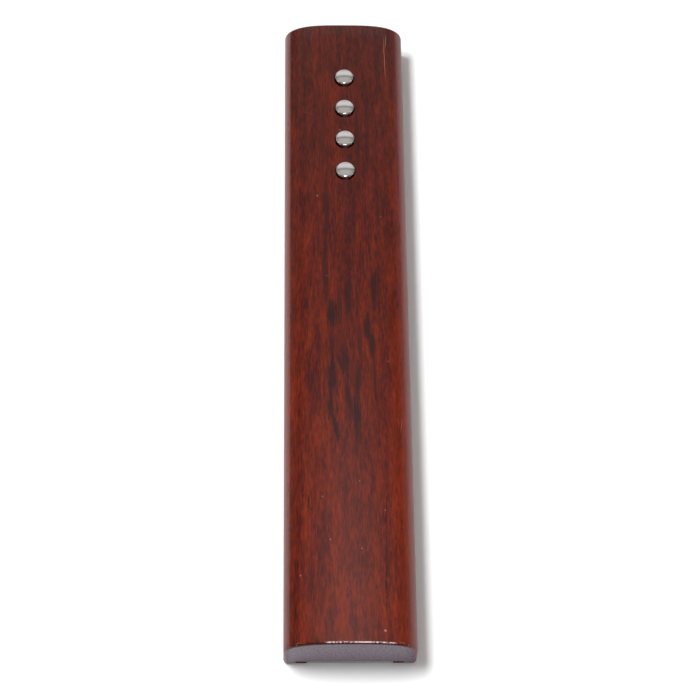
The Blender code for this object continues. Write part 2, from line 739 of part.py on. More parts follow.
def make_base_plate(aluminium):
    """The fixed cover over the circuit board, with a countersunk hole for each of its screws."""
    stem, plate = channel_blocks("base_plate", TOUCH_GAP, PLATE_RECESS, PLATE_TOP, PLATE_NEAR, PLATE_FAR,
                                 aluminium)
    combine(plate, stem, "UNION")
    hole = PLATE_SCREW_SHANK / 2 + TOUCH_GAP
    mouth = PLATE_SCREW_HEAD / 2 + TOUCH_GAP
    face = PLATE_RECESS + TOUCH_GAP
    profile = [
        (0.0, PLATE_TOP + TOUCH_GAP),
        (hole, PLATE_TOP + TOUCH_GAP),
        (hole, face + PLATE_SCREW_HEAD_HEIGHT + TOUCH_GAP / 2),
        (mouth, face + PLATE_SCREW_HEAD_HEIGHT / 6 + TOUCH_GAP / 2),
        (mouth, -TOUCH_GAP),
        (0.0, -TOUCH_GAP),
    ]
    for i, (x, y) in enumerate(plate_screw_places(), 1):
        cutter = turned(f"countersink_{i}", profile, 24)
        cutter.location = (x, y, 0.0)
        combine(plate, cutter)
    return plate


def make_door(aluminium):
    """The battery door, with a row of shallow grip grooves near its outer end."""
    stem, door = channel_blocks("battery_door", TOUCH_GAP, PLATE_RECESS, PLATE_TOP, DOOR_NEAR, DOOR_FAR,
                                aluminium)
    combine(door, stem, "UNION")
    half = DOOR_GRIP_LENGTH / 2
    for i in range(DOOR_GRIP_COUNT):
        y = DOOR_NEAR + DOOR_GRIP_FROM_END + i * DOOR_GRIP_PITCH
        groove = box(f"grip_groove_{i + 1}", (-half, y - DOOR_GRIP_WIDTH / 2, -DOOR_GRIP_DEPTH),
                     (half, y + DOOR_GRIP_WIDTH / 2, PLATE_RECESS + DOOR_GRIP_DEPTH))
        combine(door, groove)
    return door


def main():
    wood = make_material("lacquered_hardwood", (0.16, 0.045, 0.028), 0.22)
    chrome = make_material("polished_chrome", (0.80, 0.80, 0.80), 0.10, 1.0)
    aluminium = make_material("satin_aluminium", (0.62, 0.62, 0.63), 0.38, 1.0)
    steel = make_material("screw_steel", (0.55, 0.55, 0.56), 0.30, 1.0)
    nickel = make_material("nickel_plate", (0.66, 0.63, 0.58), 0.28, 1.0)
    tin = make_material("tinned_leg", (0.70, 0.70, 0.72), 0.35, 1.0)
    laminate = make_material("board_laminate", (0.02, 0.12, 0.05), 0.45)
    black = make_material("black_plastic", (0.02, 0.02, 0.022), 0.45)
    ivory = make_material("ivory_plunger", (0.70, 0.66, 0.56), 0.50)
    amber = make_material("emitter_resin", (0.10, 0.11, 0.20), 0.12)
    smoked = make_material("smoked_window", (0.03, 0.008, 0.01), 0.08)
    blue = make_material("resonator_blue", (0.05, 0.12, 0.45), 0.40)
    sleeve = make_material("capacitor_sleeve", (0.03, 0.05, 0.12), 0.35)
    beige = make_material("resistor_beige", (0.60, 0.47, 0.30), 0.50)
    jacket = make_material("battery_jacket", (0.10, 0.10, 0.11), 0.35)
    red = make_material("red_lead", (0.55, 0.03, 0.02), 0.45)
    dark = make_material("black_lead", (0.02, 0.02, 0.02), 0.45)

    make_body(wood)
    for index, y in enumerate(BUTTON_Y, 1):
        make_button(index, y, chrome, ivory, black, tin)
    make_board(laminate)
    make_emitter(amber)
    make_window(smoked)
    make_chip(black, tin)
    make_resonator(blue)
    make_capacitor(sleeve)
    make_transistor(black)
    for index, share in enumerate((0.78, 0.86), 1):
        make_resistor(index, share, beige)
    make_tray(black)
    make_cell(1, -CELL_SPACING / 2, 1, jacket, nickel)
    make_cell(2, CELL_SPACING / 2, -1, jacket, nickel)
    make_lead("positive_lead", -LEAD_SPACING / 2, red)
    make_lead("negative_lead", LEAD_SPACING / 2, dark)
    make_base_plate(aluminium)
    make_door(aluminium)
    for index, (x, y) in enumerate(plate_screw_places(), 1):
        countersunk_screw(f"plate_screw_{index}", x, y, steel)
    for index, (x, y) in enumerate(board_screw_places(), 1):
        pan_screw(f"board_screw_{index}", x, y, steel)


clear_scene()
PARTS = make_collection("wooden_remote_control")
CUTTERS = make_collection("cutters", hidden=True)
main()
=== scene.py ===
"""Looks of the wooden infrared remote control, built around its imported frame.

Metres, +Z up. The remote lies on its underside with its length along Y, the infrared window
at the +Y end and the battery door at the -Y end. Shader patterns work in millimetres.
"""

import logging
import math
from collections.abc import Callable
from dataclasses import dataclass, field
from enum import Enum

import bmesh
import bpy
import numpy as np
from mathutils import Matrix, Vector


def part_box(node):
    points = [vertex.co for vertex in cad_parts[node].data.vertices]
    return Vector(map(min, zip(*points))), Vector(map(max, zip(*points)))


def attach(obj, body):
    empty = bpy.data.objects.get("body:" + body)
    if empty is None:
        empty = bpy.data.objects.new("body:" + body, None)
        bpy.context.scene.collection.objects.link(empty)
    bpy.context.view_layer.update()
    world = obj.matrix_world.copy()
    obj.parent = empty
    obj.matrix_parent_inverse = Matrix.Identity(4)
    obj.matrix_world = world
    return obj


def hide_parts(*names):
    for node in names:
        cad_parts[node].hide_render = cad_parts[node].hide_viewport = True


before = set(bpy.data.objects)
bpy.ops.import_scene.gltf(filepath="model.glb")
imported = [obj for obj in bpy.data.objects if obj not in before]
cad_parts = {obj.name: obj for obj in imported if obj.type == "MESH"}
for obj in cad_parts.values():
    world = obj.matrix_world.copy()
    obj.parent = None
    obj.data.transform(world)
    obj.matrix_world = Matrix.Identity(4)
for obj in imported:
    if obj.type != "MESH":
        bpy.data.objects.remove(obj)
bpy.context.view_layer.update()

LOG = logging.getLogger("remote_looks")
MM = 0.001
# The gap that touching pieces keep, and how far a cutter stands past what it cuts.
TOUCH_GAP = 0.0003
OVERCUT = 0.001
# The numbers of the buttons, and of the screws of each kind.
FOUR = range(1, 5)
Triple = tuple[float, float, float]
Piece = bpy.types.Object
Paint = "Signal | Triple"


class Facing(Enum):
    """Which end of the bay a cell's raised end faces."""

    FAR = 1.0
    NEAR = -1.0


def maths(operation: str, swapped: bool = False, clamp: bool = False) -> Callable[..., "Signal"]:
    """A method of Signal that adds a Math node.

    Args:
        operation: The node's operation.
        swapped: Whether the signal comes after the other number.
        clamp: Whether the result is held between 0 and 1.

    Returns:
        The method.
    """

    def method(self: "Signal", *others: "Signal | float") -> "Signal":
        """The Math node's result."""
        values = (*others, self) if swapped else (self, *others)
        settings = {"operation": operation, "use_clamp": clamp}
        return self.bench.node("ShaderNodeMath", settings, dict(enumerate(values)))

    return method


class Signal:
    """One socket's value, which can be used in sums and products of a material.

    Besides the operators it has size, its absolute value, most, the larger of two values, sine,
    of radians, and clamped, which adds a number and holds the sum between 0 and 1.
    """

    __add__ = maths("ADD")
    __radd__ = maths("ADD", swapped=True)
    __sub__ = maths("SUBTRACT")
    __rsub__ = maths("SUBTRACT", swapped=True)
    __mul__ = maths("MULTIPLY")
    __rmul__ = maths("MULTIPLY", swapped=True)
    __truediv__ = maths("DIVIDE")
    __rtruediv__ = maths("DIVIDE", swapped=True)
    __pow__ = maths("POWER")
    size = maths("ABSOLUTE")
    most = maths("MAXIMUM")
    sine = maths("SINE")
    clamped = maths("ADD", clamp=True)

    def __init__(self, bench: "Bench", socket: bpy.types.NodeSocket) -> None:
        """Wraps an output socket of a bench's tree."""
        self.bench = bench
        self.socket = socket

    def about(self, strength: float) -> "Signal":
        """How far noise is above or below its middle, times a strength."""
        return (self - 0.5) * strength

    def held(self) -> "Signal":
        """The value held between 0 and 1."""
        return self.clamped(0.0)

    def step(self, start: float, end: float) -> "Signal":
        """A smooth step, which rises or falls.

        Args:
            start: Where it is 0.
            end: Where it is 1.

        Returns:
            The stepped value.
        """
        settings = {"interpolation_type": "SMOOTHSTEP", "clamp": True}
        low, high, falls = min(start, end), max(start, end), float(start > end)
        ends = {"From Min": low, "From Max": high, "To Min": falls, "To Max": 1.0 - falls}
        return self.bench.node("ShaderNodeMapRange", settings, {"Value": self, **ends}, "Result")


class Bench:
    """The node tree of one material or world, to which nodes are added."""

    def __init__(self, tree: bpy.types.NodeTree) -> None:
        """Takes over a tree and empties it."""
        self.tree = tree
        tree.nodes.clear()

    def node(self, kind: str, settings: dict, inputs: dict, output: str | int = 0) -> Signal:
        """Adds a node.

        Args:
            kind: The node's type.
            settings: Its properties, which are set first.
            inputs: Input name, identifier or number to a value or a Signal.
            output: The output that is wanted, by name, identifier or number.

        Returns:
            That output.
        """
        node = self.tree.nodes.new(kind)
        for name, value in settings.items():
            setattr(node, name, value)
        for key, value in inputs.items():
            socket = self._socket(node.inputs, key)
            if isinstance(value, Signal):
                self.tree.links.new(value.socket, socket)
            else:
                socket.default_value = value
        return Signal(self, self._socket(node.outputs, output))

    @staticmethod
    def _socket(sockets: bpy.types.bpy_prop_collection, key: str | int) -> bpy.types.NodeSocket:
        """Finds a socket by number, identifier or name."""
        if isinstance(key, int):
            return sockets[key]
        return next((s for s in sockets if s.identifier == key), None) or sockets[key]

    def place(self) -> tuple[Signal, Signal, Signal]:
        """The point on the piece: its x, y and z in millimetres."""
        inputs = {0: self.node("ShaderNodeTexCoord", {}, {}, "Object"), "Scale": 1 / MM}
        return self.split(self.node("ShaderNodeVectorMath", {"operation": "SCALE"}, inputs))

    def split(self, vector: Signal) -> tuple[Signal, Signal, Signal]:
        """A vector's three parts."""
        first = self.node("ShaderNodeSeparateXYZ", {}, {0: vector}, "X")
        outputs = first.socket.node.outputs
        return first, Signal(self, outputs["Y"]), Signal(self, outputs["Z"])

    def join(self, x: Signal | float, y: Signal | float, z: Signal | float) -> Signal:
        """A vector of three numbers."""
        return self.node("ShaderNodeCombineXYZ", {}, {"X": x, "Y": y, "Z": z})

    def noise(self, x: Signal, y: Signal, z: Signal | float, scale: float = 1.0,
              detail: float = 2.0, roughness: float = 0.5) -> Signal:
        """Cloudy noise from 0 to 1 at a point, with detail octaves of finer noise."""
        values = {"Vector": self.join(x, y, z), "Scale": scale, "Detail": detail,
                  "Roughness": roughness}
        return self.node("ShaderNodeTexNoise", {}, values)

    def cells(self, x: Signal, y: Signal, z: Signal, scale: float) -> Signal:
        """Distance to the nearest of a field of scattered points."""
        values = {"Vector": self.join(x, y, z), "Scale": scale}
        return self.node("ShaderNodeTexVoronoi", {}, values, "Distance")

    def blend(self, factor: Signal | float, first: Paint, second: Paint,
              mode: str = "MIX") -> Signal:
        """A colour that goes from the first to the second as the factor goes from 0 to 1."""
        values = {"Factor_Float": factor}
        for key, colour in (("A_Color", first), ("B_Color", second)):
            values[key] = colour if isinstance(colour, Signal) else (*colour, 1.0)
        settings = {"data_type": "RGBA", "blend_type": mode}
        return self.node("ShaderNodeMix", settings, values, "Result_Color")

    def shade(self, colour: Paint, amount: Signal) -> Signal:
        """A colour made darker or lighter by a number."""
        return self.blend(1.0, colour, self.join(amount, amount, amount), "MULTIPLY")

    def bump(self, height: Signal, depth: float) -> Signal:
        """A normal from a height, of which 1 stands for the depth in metres."""
        values = {"Height": height, "Distance": depth, "Strength": 1.0}
        return self.node("ShaderNodeBump", {}, values)

    def surface(self, kind: str, shader: Signal) -> None:
        """Adds the tree's output node, of a kind, with a shader in its surface."""
        output = self.tree.nodes.new(kind)
        self.tree.links.new(shader.socket, output.inputs["Surface"])


@dataclass(frozen=True)
class Finish:
    """What every finish has: a name, and a way to make its material."""

    name: str

    def material(self) -> bpy.types.Material:
        """The finish's material, made the first time that it is asked for."""
        found = bpy.data.materials.get(self.name)
        if found:
            return found
        made = bpy.data.materials.new(self.name)
        made.use_nodes = True
        bench = Bench(made.node_tree)
        values = {key: (*value, 1.0) if isinstance(value, tuple) else value
                  for key, value in self.sockets(bench).items()}
        shader = bench.node("ShaderNodeBsdfPrincipled", {}, values, "BSDF")
        bench.surface("ShaderNodeOutputMaterial", shader)
        LOG.info("finish %s: %d nodes", self.name, len(bench.tree.nodes))
        return made

    def sockets(self, bench: Bench) -> dict:
        """The Principled shader's sockets."""
        raise NotImplementedError


@dataclass(frozen=True)
class Streak:
    """One dark line of the figure, in millimetres: its middle, half length, half width and lean."""

    x: float
    y: float
    half_length: float
    half_width: float
    lean: float = 0.0
    strength: float = 1.0


FLAME = tuple(Streak(*row) for row in (
    (-7.0, 40, 15, 1.1, 0.03, 0.75), (-7.6, 17, 17, 1.3, 0.015, 0.85),
    (-5.4, -1.5, 8.0, 2.5, -0.03), (-5.6, -14, 8.5, 1.1, 0.0, 0.85),
    (-5.5, -25, 10.0, 1.8, 0.02), (-6.0, -36, 10.0, 1.3, 0.03), (-4.5, -46, 6.5, 1.1, -0.17),
    (-2.6, -21, 5.0, 1.2, -0.36, 0.8), (-0.9, -21, 9.5, 1.9, -0.08, 0.95),
    (-0.1, -32, 9.0, 1.2, -0.12, 0.85), (1.3, -39, 6.0, 0.9, -0.12, 0.75),
    (0.5, 6, 12.5, 1.5, 0.02, 0.9), (3.5, -28, 10.0, 1.2, 0.04, 0.9), (2.9, -41, 10.0, 1.9, 0.0),
    (9.8, 8, 10.5, 1.4, 0.02, 0.9), (7.2, -7, 6.5, 1.7, 0.0, 0.95),
    (8.6, -14, 8.0, 1.3, -0.02, 0.85), (9.5, -26, 10.0, 0.9, -0.02, 0.7),
    (6.9, -21, 5.0, 0.8, -0.2, 0.55), (-2.5, 1, 9.0, 1.0, 0.0, 0.5),
    (4.2, -12, 8.0, 1.1, 0.0, 0.45), (-8.6, 70, 22.0, 1.2, 0.02, 0.5),
    (8.3, 78, 26.0, 1.1, -0.01, 0.45), (3.1, 34, 10.0, 0.9, 0.0, 0.45),
))
PORE_LINES = tuple(Streak(*row) for row in (
    (-8.2, -62.5, 5.5, 0.30, 0.0, 0.8), (-16.0, -70, 3.4, 0.35, 0.0, 0.9),
    (-14.0, -73, 4.6, 0.30, 0.0, 0.8), (6.5, -73, 4.0, 0.35, 0.0, 0.8),
    (12.5, -79, 9.5, 0.28, 0.02, 0.8), (12.1, -105.5, 14.0, 0.34, 0.02, 1.0),
    (11.2, -98, 8.0, 0.24, 0.03, 0.7), (3.8, -97, 13.8, 0.26, 0.015, 0.9),
    (-5.6, -101, 9.0, 0.26, -0.11, 0.9), (-1.0, -107.3, 2.9, 0.30, 0.02, 1.0),
    (0.1, -107.3, 2.9, 0.28, 0.0, 1.0), (9.0, -105.5, 1.6, 0.32, 0.0, 0.9),
    (-5.2, -122, 1.8, 0.28, 0.0, 0.8), (9.2, -118, 4.5, 0.30, 0.0, 0.6),
    (-7.0, -83, 4.0, 0.28, -0.03, 0.6), (14.8, -117, 6.0, 0.35, 0.0, 0.7),
))
SCRATCHES = tuple(Streak(*row) for row in (
    (15.5, 110, 13.0, 0.14, -0.02, 0.6), (16.1, 118, 4.0, 0.17, 0.07, 0.5),
    (18.5, -44.5, 3.4, 0.10, 0.12, 0.55), (17.4, -43, 1.8, 0.09, -0.25, 0.45),
    (-13.6, 84.5, 1.6, 0.10, -2.4, 0.30),
))
# Each chip: its middle, its radius and its strength.
SPECKS = (
    (-6.6, -88.0, 0.34, 0.35), (4.0, -91.3, 0.28, 0.45), (-16.7, -100.3, 0.30, 0.4),
    (11.4, -120.3, 0.42, 0.8), (3.5, -66.6, 0.26, 0.35), (-9.2, -72.2, 0.30, 0.35),
    (12.2, -77.1, 0.26, 0.35), (-10.4, 47.9, 0.40, 0.28), (12.7, 39.2, 0.26, 0.25),
    (-7.3, 14.1, 0.24, 0.2), (14.4, -20.1, 0.28, 0.3), (-1.9, 76.5, 0.34, 0.3),
)


@dataclass(frozen=True)
class LacqueredHardwood(Finish):
    """Red-brown straight-grained hardwood under clear lacquer, with a dark flame in its middle."""

    name: str = "lacquered_hardwood"
    deep: Triple = (0.046, 0.0062, 0.0052)
    warm: Triple = (0.122, 0.0132, 0.0030)
    dark: Triple = (0.0215, 0.0060, 0.0064)
    # The colour of the pores, also used for the painted shade on the near arris.
    pore_and_shade: Triple = (0.016, 0.0035, 0.0042)
    bare: Triple = (0.30, 0.17, 0.11)
    speck: Triple = (0.30, 0.21, 0.22)
    # The tint of a painted sheen: lamp light mirrored in the crown's middle near the near end.
    painted_sheen_tint: Triple = (0.20, 0.115, 0.112)
    # Painted light on the sides: a redder, lighter tint for the dimly lit upright sides and the
    # pale room mirrored in them.
    painted_side_sheen: Triple = (0.26, 0.066, 0.060)
    # The colour of a painted highlight along the near end's top arris.
    painted_edge_highlight: Triple = (0.80, 0.66, 0.64)
    # The end face's colour: end grain, lightened by a painted reflection of the pale room.
    end_grain_and_sheen: Triple = (0.160, 0.106, 0.149)
    ior: float = 1.45
    gloss: float = 0.12
    flame_strength: float = 0.95
    pore_strength: float = 0.75
    relief: float = 0.03
    # Where the sawn end and the top begin, and the span along the bar over which the painted sheen
    # on the crown's middle grows towards the near end.
    end_facing: tuple[float, float] = (0.90, 0.99)
    top_height: tuple[float, float] = (15.0, 18.0)
    painted_sheen_span: tuple[float, float] = (30.0, -110.0)

    def sockets(self, bench: Bench) -> dict:
        """Layers tone, streaks, flame, pores, scratches, chips and end grain, with painted light
        and shade on the sides, a painted sheen, a painted edge highlight and painted shade on the
        near arris.
        """
        x, y, z = bench.place()
        wander = bench.noise(x * 0.05, y * 0.014, z * 0.05, detail=1.0) - 0.5
        curl = bench.noise(x * 0.20, y * 0.085, z * 0.20) - 0.5
        gx = x + wander * 2.5 + curl * 1.5
        tone = bench.noise(gx * 0.10, y * 0.012, z * 0.10)
        band = bench.noise(gx * 0.50, y * 0.050, z * 0.50, detail=3.0)
        dash = bench.noise(gx * 1.3, y * 0.32, z * 1.3, detail=3.0, roughness=0.6)
        fibre = bench.noise(gx * 2.9, y * 0.19, z * 2.9, roughness=0.6)
        mottle = bench.noise(x * 0.22, y * 0.11, z * 0.22)

        off_centre = (x * x) / 480.0
        warmth = tone.about(1.3) + band.about(1.7) + dash.about(1.9)
        warmth = warmth + off_centre * 0.30 + 0.36
        colour = bench.blend(warmth.held(), self.deep, self.warm)
        length = 1.04 - y * 0.0026
        near_end = y.step(-50.0, -115.0)
        # Painted light and shade: the right side lighter, and the left side and the sides of the
        # near end darker, to even out how the key lamp falls.
        outer = x.step(10.0, 21.5) * 0.24 - x.step(-8.0, -19.0) * 0.13
        outer = outer + x.step(18.5, 21.5) * 0.22 * y.step(-60.0, 60.0)
        outer = outer - x.size().step(15.5, 19.5) * 0.34 * near_end
        shade = 1.0 + fibre.about(1.4) + mottle.about(0.6) + outer
        colour = bench.shade(colour, shade * length)

        veins = bench.noise(gx * 1.7, y * 0.07, z * 1.7, detail=4.0, roughness=0.6)
        frayed = veins.about(2.4) + dash.about(2.4) + fibre.about(1.4)
        flame = self.streaks(FLAME, x, y, 0.32, frayed).most(self.vein_field(bench, gx, y, z))
        pores, lines = self.pores(bench, gx, x, y, z)
        # The sides: their colour is lightened by painted light and reflection, and their lacquer is
        # rougher.
        sides = x.step(17.5, 22.4) + x.step(-19.4, -22.4) * 0.7
        # Painted sheen: the crown's middle grows lighter towards the near end, standing in for lamp
        # light mirrored in the lacquer.
        painted_sheen = (1.0 - off_centre * 3.2).held() * y.step(*self.painted_sheen_span) * 0.10
        scratches, specks = self.wear(bench, x, y, z)
        chips = scratches.most(specks)

        _, ny, _ = bench.split(bench.node("ShaderNodeNewGeometry", {}, {}, "Normal"))
        top = z.step(*self.top_height)
        # Painted shade: the lower part of the near end's rounded arris is darkened, as a dark
        # reflection below its highlight.
        under = ny.step(-0.50, -0.62) * ny.step(-0.97, -0.88) * top
        # Painted highlight: a broken bright line on the near end's top arris, standing in for a
        # lamp mirrored in it.
        span = x.step(-9.5, -6.5) * x.step(16.5, 13.5)
        highlight_breaks = bench.noise(x * 1.4, y * 0.8, 0.0, detail=3.0, roughness=0.75)
        highlight_breaks = highlight_breaks + span * 0.18 + x.step(-2.0, 5.0) * span * 0.07 - 0.07
        edge = ny.step(-0.28, -0.42) * ny.step(-0.70, -0.56) * top * highlight_breaks.step(0.52, 0.72)
        # The end face: rings, speckle and pores of the end grain, on a colour lightened by a
        # painted reflection.
        end = ny.size().step(*self.end_facing)
        rings = bench.noise(x * 0.30, z * 0.9, y * 0.2, detail=4.0, roughness=0.65)
        speckle = bench.noise(x * 1.5, z * 2.2, y * 0.2, detail=1.0)
        dots = bench.cells(x, z, y * 0.2, 1.1).step(0.30, 0.14)
        grain = bench.shade(self.end_grain_and_sheen, 1.0 + rings.about(0.7) + speckle.about(3.4))
        grain = bench.blend(dots * 0.6, grain, self.pore_and_shade)
        for mask, layer in (
                (flame * self.flame_strength, self.dark),
                (pores.most(lines) * self.pore_strength, self.pore_and_shade),
                (sides * 0.55, self.painted_side_sheen), (painted_sheen, self.painted_sheen_tint), (scratches, self.bare),
                (specks, self.speck), (under * 0.7, self.pore_and_shade), (edge * 0.9, self.painted_edge_highlight),
                (end, grain)):
            colour = bench.blend(mask, colour, layer)

        peel = bench.noise(x, y, z, scale=0.55, detail=3.0)
        height = peel * 0.30 + fibre * 0.08 + dash * 0.06 - pores * 0.5 - lines * 1.0 - chips * 0.5
        sanded = bench.noise(x, y, z, scale=3.0)
        height = height + end * (sanded * 0.5 - dots * 0.6)
        rough = self.gloss + mottle.about(0.08) + pores * 0.15 + chips * 0.25 + end * 0.22
        rough = rough + sides * 0.33
        return {
            "Base Color": colour,
            "Roughness": rough.held(),
            "Normal": bench.bump(height, self.relief * MM),
            "IOR": self.ior,
        }

    @staticmethod
    def streaks(streaks: tuple[Streak, ...], x: Signal, y: Signal, edge: float,
                ragged: Signal | float = 0.0) -> Signal:
        """The strongest of a set of streaks at a point.

        Inside a streak, one minus the squares of the distances along and across it, over its
        half length and half width, is above 0.

        Args:
            streaks: The streaks.
            x: Place across the grain, in millimetres.
            y: Place along the grain, in millimetres.
            edge: Half the width of the soft edge.
            ragged: Noise about 0 that frays the edges.

        Returns:
            A mask from 0 to 1.
        """
        total = None
        for streak in streaks:
            along = (y - streak.y) / streak.half_length
            across = (x - (y - streak.y) * streak.lean - streak.x) / streak.half_width
            inside = 1.0 - along * along - across * across + ragged
            mask = inside.step(0.5 - edge, 0.5 + edge) * streak.strength
            total = mask if total is None else total.most(mask)
        return total

    @staticmethod
    def vein_field(bench: Bench, x: Signal, y: Signal, z: Signal) -> Signal:
        """Thinner dark veins, strongest in the middle of the bar."""
        near = 1.0 - (x * x) / 380.0 - ((y - 6.0) * (y - 6.0)) / 7200.0
        envelope = near.step(0.0, 0.9) * 0.55 + 0.25
        veins = bench.noise(x * 1.25, y * 0.09, z * 1.25, detail=3.0, roughness=0.6)
        return veins.step(0.57, 0.72) * envelope

    def pores(self, bench: Bench, gx: Signal, x: Signal, y: Signal,
              z: Signal) -> tuple[Signal, Signal]:
        """The masks of the short pores all over, and of the long ones near the cut end."""
        ticks = bench.noise(gx * 4.0, y * 0.34, z * 4.0)
        patch = bench.noise(x * 0.2, y * 0.05, z * 0.2, detail=1.0)
        short = ticks.step(0.62, 0.74) * (patch.step(0.35, 0.6) * 0.5 + 0.3)
        breakup = bench.noise(x * 0.8, y * 0.7, z).step(0.36, 0.55)
        lines = self.streaks(PORE_LINES, x + (y * 0.35).sine() * 0.08, y, 0.35) * breakup
        return short, lines

    def wear(self, bench: Bench, x: Signal, y: Signal, z: Signal) -> tuple[Signal, Signal]:
        """The masks of the scratches and of the small chips in the lacquer of the top."""
        above = z.step(11.0, 13.0)
        scratches = self.streaks(SCRATCHES, x + (y * 0.9).sine() * 0.06, y, 0.4) * above
        specks = None
        for sx, sy, radius, strength in SPECKS:
            across, along = x - sx, y - sy
            distance = (across * across + along * along * 0.7) / (radius * radius)
            spot = distance.step(1.2, 0.2) * strength
            specks = spot if specks is None else specks.most(spot)
        return scratches, specks * above


@dataclass(frozen=True)
class Metal(Finish):
    """A metal with smudges, and lines where it is brushed."""

    name: str = "metal"
    colour: Triple = (0.8, 0.8, 0.8)
    roughness: float = 0.1
    smudge: float = 0.04
    brush: Triple | None = None
    brush_depth: float = 0.004

    def sockets(self, bench: Bench) -> dict:
        """Colour, roughness and fine relief."""
        x, y, z = bench.place()
        cloud = bench.noise(x, y, z, scale=0.45, detail=4.0, roughness=0.6)
        fine = bench.noise(x, y, z, scale=7.0)
        rough = self.roughness + (cloud - 0.5) * self.smudge * 2.0 + (fine - 0.5) * self.smudge
        shade = 1.0 + cloud.about(0.08)
        height, depth = fine * 0.3, 0.0006
        if self.brush is not None:
            bx, by, bz = self.brush
            height, depth = bench.noise(x * bx, y * by, z * bz, 1.0, 3.0, 0.7), self.brush_depth
            rough = rough + height.about(0.18)
            shade = shade + height.about(0.22)
        return {
            "Base Color": bench.shade(self.colour, shade),
            "Roughness": rough.held(),
            "Metallic": 1.0,
            "Normal": bench.bump(height, depth * MM),
        }


@dataclass(frozen=True)
class Moulding(Finish):
    """A plastic or painted finish with a fine grain, faint clouding and optional bands."""

    name: str = "plastic"
    colour: Triple = (0.02, 0.02, 0.022)
    roughness: float = 0.45
    grain_scale: float = 6.0
    grain_depth: float = 0.006
    metallic: float = 0.0
    ior: float = 1.48

    def tint(self, bench: Bench, x: Signal, y: Signal, z: Signal) -> Paint:
        """The colour before clouding."""
        return self.colour

    def sockets(self, bench: Bench) -> dict:
        """Colour, roughness and grain."""
        x, y, z = bench.place()
        cloud = bench.noise(x, y, z, scale=0.35, detail=3.0)
        grain = bench.noise(x, y, z, scale=self.grain_scale)
        shade = 1.0 + cloud.about(0.30) + grain.about(0.12)
        return {
            "Base Color": bench.shade(self.tint(bench, x, y, z), shade),
            "Roughness": (self.roughness + cloud.about(0.14) + grain.about(0.08)).held(),
            "Metallic": self.metallic,
            "IOR": self.ior,
            "Normal": bench.bump(grain, self.grain_depth * MM),
        }


@dataclass(frozen=True)
class CellJacket(Moulding):
    """A battery's printed jacket: a dark body with a plain pale ring near its raised end."""

    colour: Triple = (0.045, 0.05, 0.06)
    roughness: float = 0.28
    grain_depth: float = 0.002
    metallic: float = 0.55
    ring: Triple = (0.45, 0.46, 0.48)
    ring_from: float = 0.0
    ring_to: float = 0.0

    def tint(self, bench: Bench, x: Signal, y: Signal, z: Signal) -> Signal:
        """The dark jacket and its ring."""
        soft = 0.1
        inside = y.step(self.ring_from - soft, self.ring_from + soft)
        inside = inside * y.step(self.ring_to + soft, self.ring_to - soft)
        return bench.blend(inside, self.colour, self.ring)


@dataclass(frozen=True)
class BoardLaminate(Moulding):
    """Green solder mask over copper tracks, which show as lighter lines."""

    name: str = "board_laminate"
    colour: Triple = (0.012, 0.085, 0.035)
    track: Triple = (0.030, 0.170, 0.070)
    roughness: float = 0.30

    def tint(self, bench: Bench, x: Signal, y: Signal, z: Signal) -> Signal:
        """Mask colour with tracks along and across the board."""
        lane = bench.noise(x * 0.55, y * 0.04, z, detail=0.0).step(0.52, 0.54)
        cross = bench.noise(x * 0.06, y * 0.5, z, detail=0.0).step(0.60, 0.62)
        return bench.blend(lane.most(cross) * 0.8, self.colour, self.track)


@dataclass(frozen=True)
class SmokedWindow(Finish):
    """Dark red infrared-passing plastic, polished, with faint handling marks."""

    name: str = "smoked_window"
    colour: Triple = (0.020, 0.0022, 0.0030)

    def sockets(self, bench: Bench) -> dict:
        """Dark colour under a glossy skin."""
        x, y, z = bench.place()
        haze = bench.noise(x, y, z, scale=0.8, detail=4.0, roughness=0.6)
        scuffs = bench.noise(x * 6.0, y, z * 0.9).step(0.62, 0.70)
        return {
            "Base Color": bench.shade(self.colour, 1.0 + haze.about(0.6)),
            "Roughness": (0.06 + haze * 0.06 + scuffs * 0.12).held(),
            "IOR": 1.50,
            "Normal": bench.bump(haze - scuffs * 0.3, 0.002 * MM),
        }


@dataclass(frozen=True)
class ClearResin(Finish):
    """Blue-grey tinted resin of the infrared emitter."""

    name: str = "emitter_resin"
    colour: Triple = (0.10, 0.11, 0.20)

    def sockets(self, bench: Bench) -> dict:
        """Tinted, glossy and partly clear."""
        cloud = bench.noise(*bench.place(), scale=0.9, detail=3.0)
        return {
            "Base Color": bench.shade(self.colour, 0.85 + cloud * 0.3),
            "Roughness": (0.08 + cloud * 0.08).held(),
            "IOR": 1.54,
            "Transmission Weight": 0.35,
            "Normal": bench.bump(cloud, 0.003 * MM),
        }


@dataclass(frozen=True)
class TablePaper(Finish):
    """Matt, slightly cool, pale paper."""

    name: str = "table_paper"
    tone: float = 0.80
    tint: Triple = (1.0, 1.018, 1.03)

    def sockets(self, bench: Bench) -> dict:
        """One even colour."""
        return {"Base Color": tuple(self.tone * share for share in self.tint), "Roughness": 0.8}


def new_object(name: str, points: np.ndarray, faces: list[list[int]]) -> Piece:
    """A mesh object at the origin, with its faces turned outwards.

    Args:
        name: The object's name.
        points: An array of places, in metres.
        faces: Each face's point numbers.

    Returns:
        The object, in the scene.
    """
    mesh = bpy.data.meshes.new(name)
    mesh.from_pydata(points.tolist(), [], faces)
    shape = bmesh.new()
    shape.from_mesh(mesh)
    bmesh.ops.recalc_face_normals(shape, faces=shape.faces)
    if shape.calc_volume(signed=True) < 0:
        bmesh.ops.reverse_faces(shape, faces=shape.faces)
    shape.to_mesh(mesh)
    shape.free()
    mesh.update()
    return placed(name, mesh)


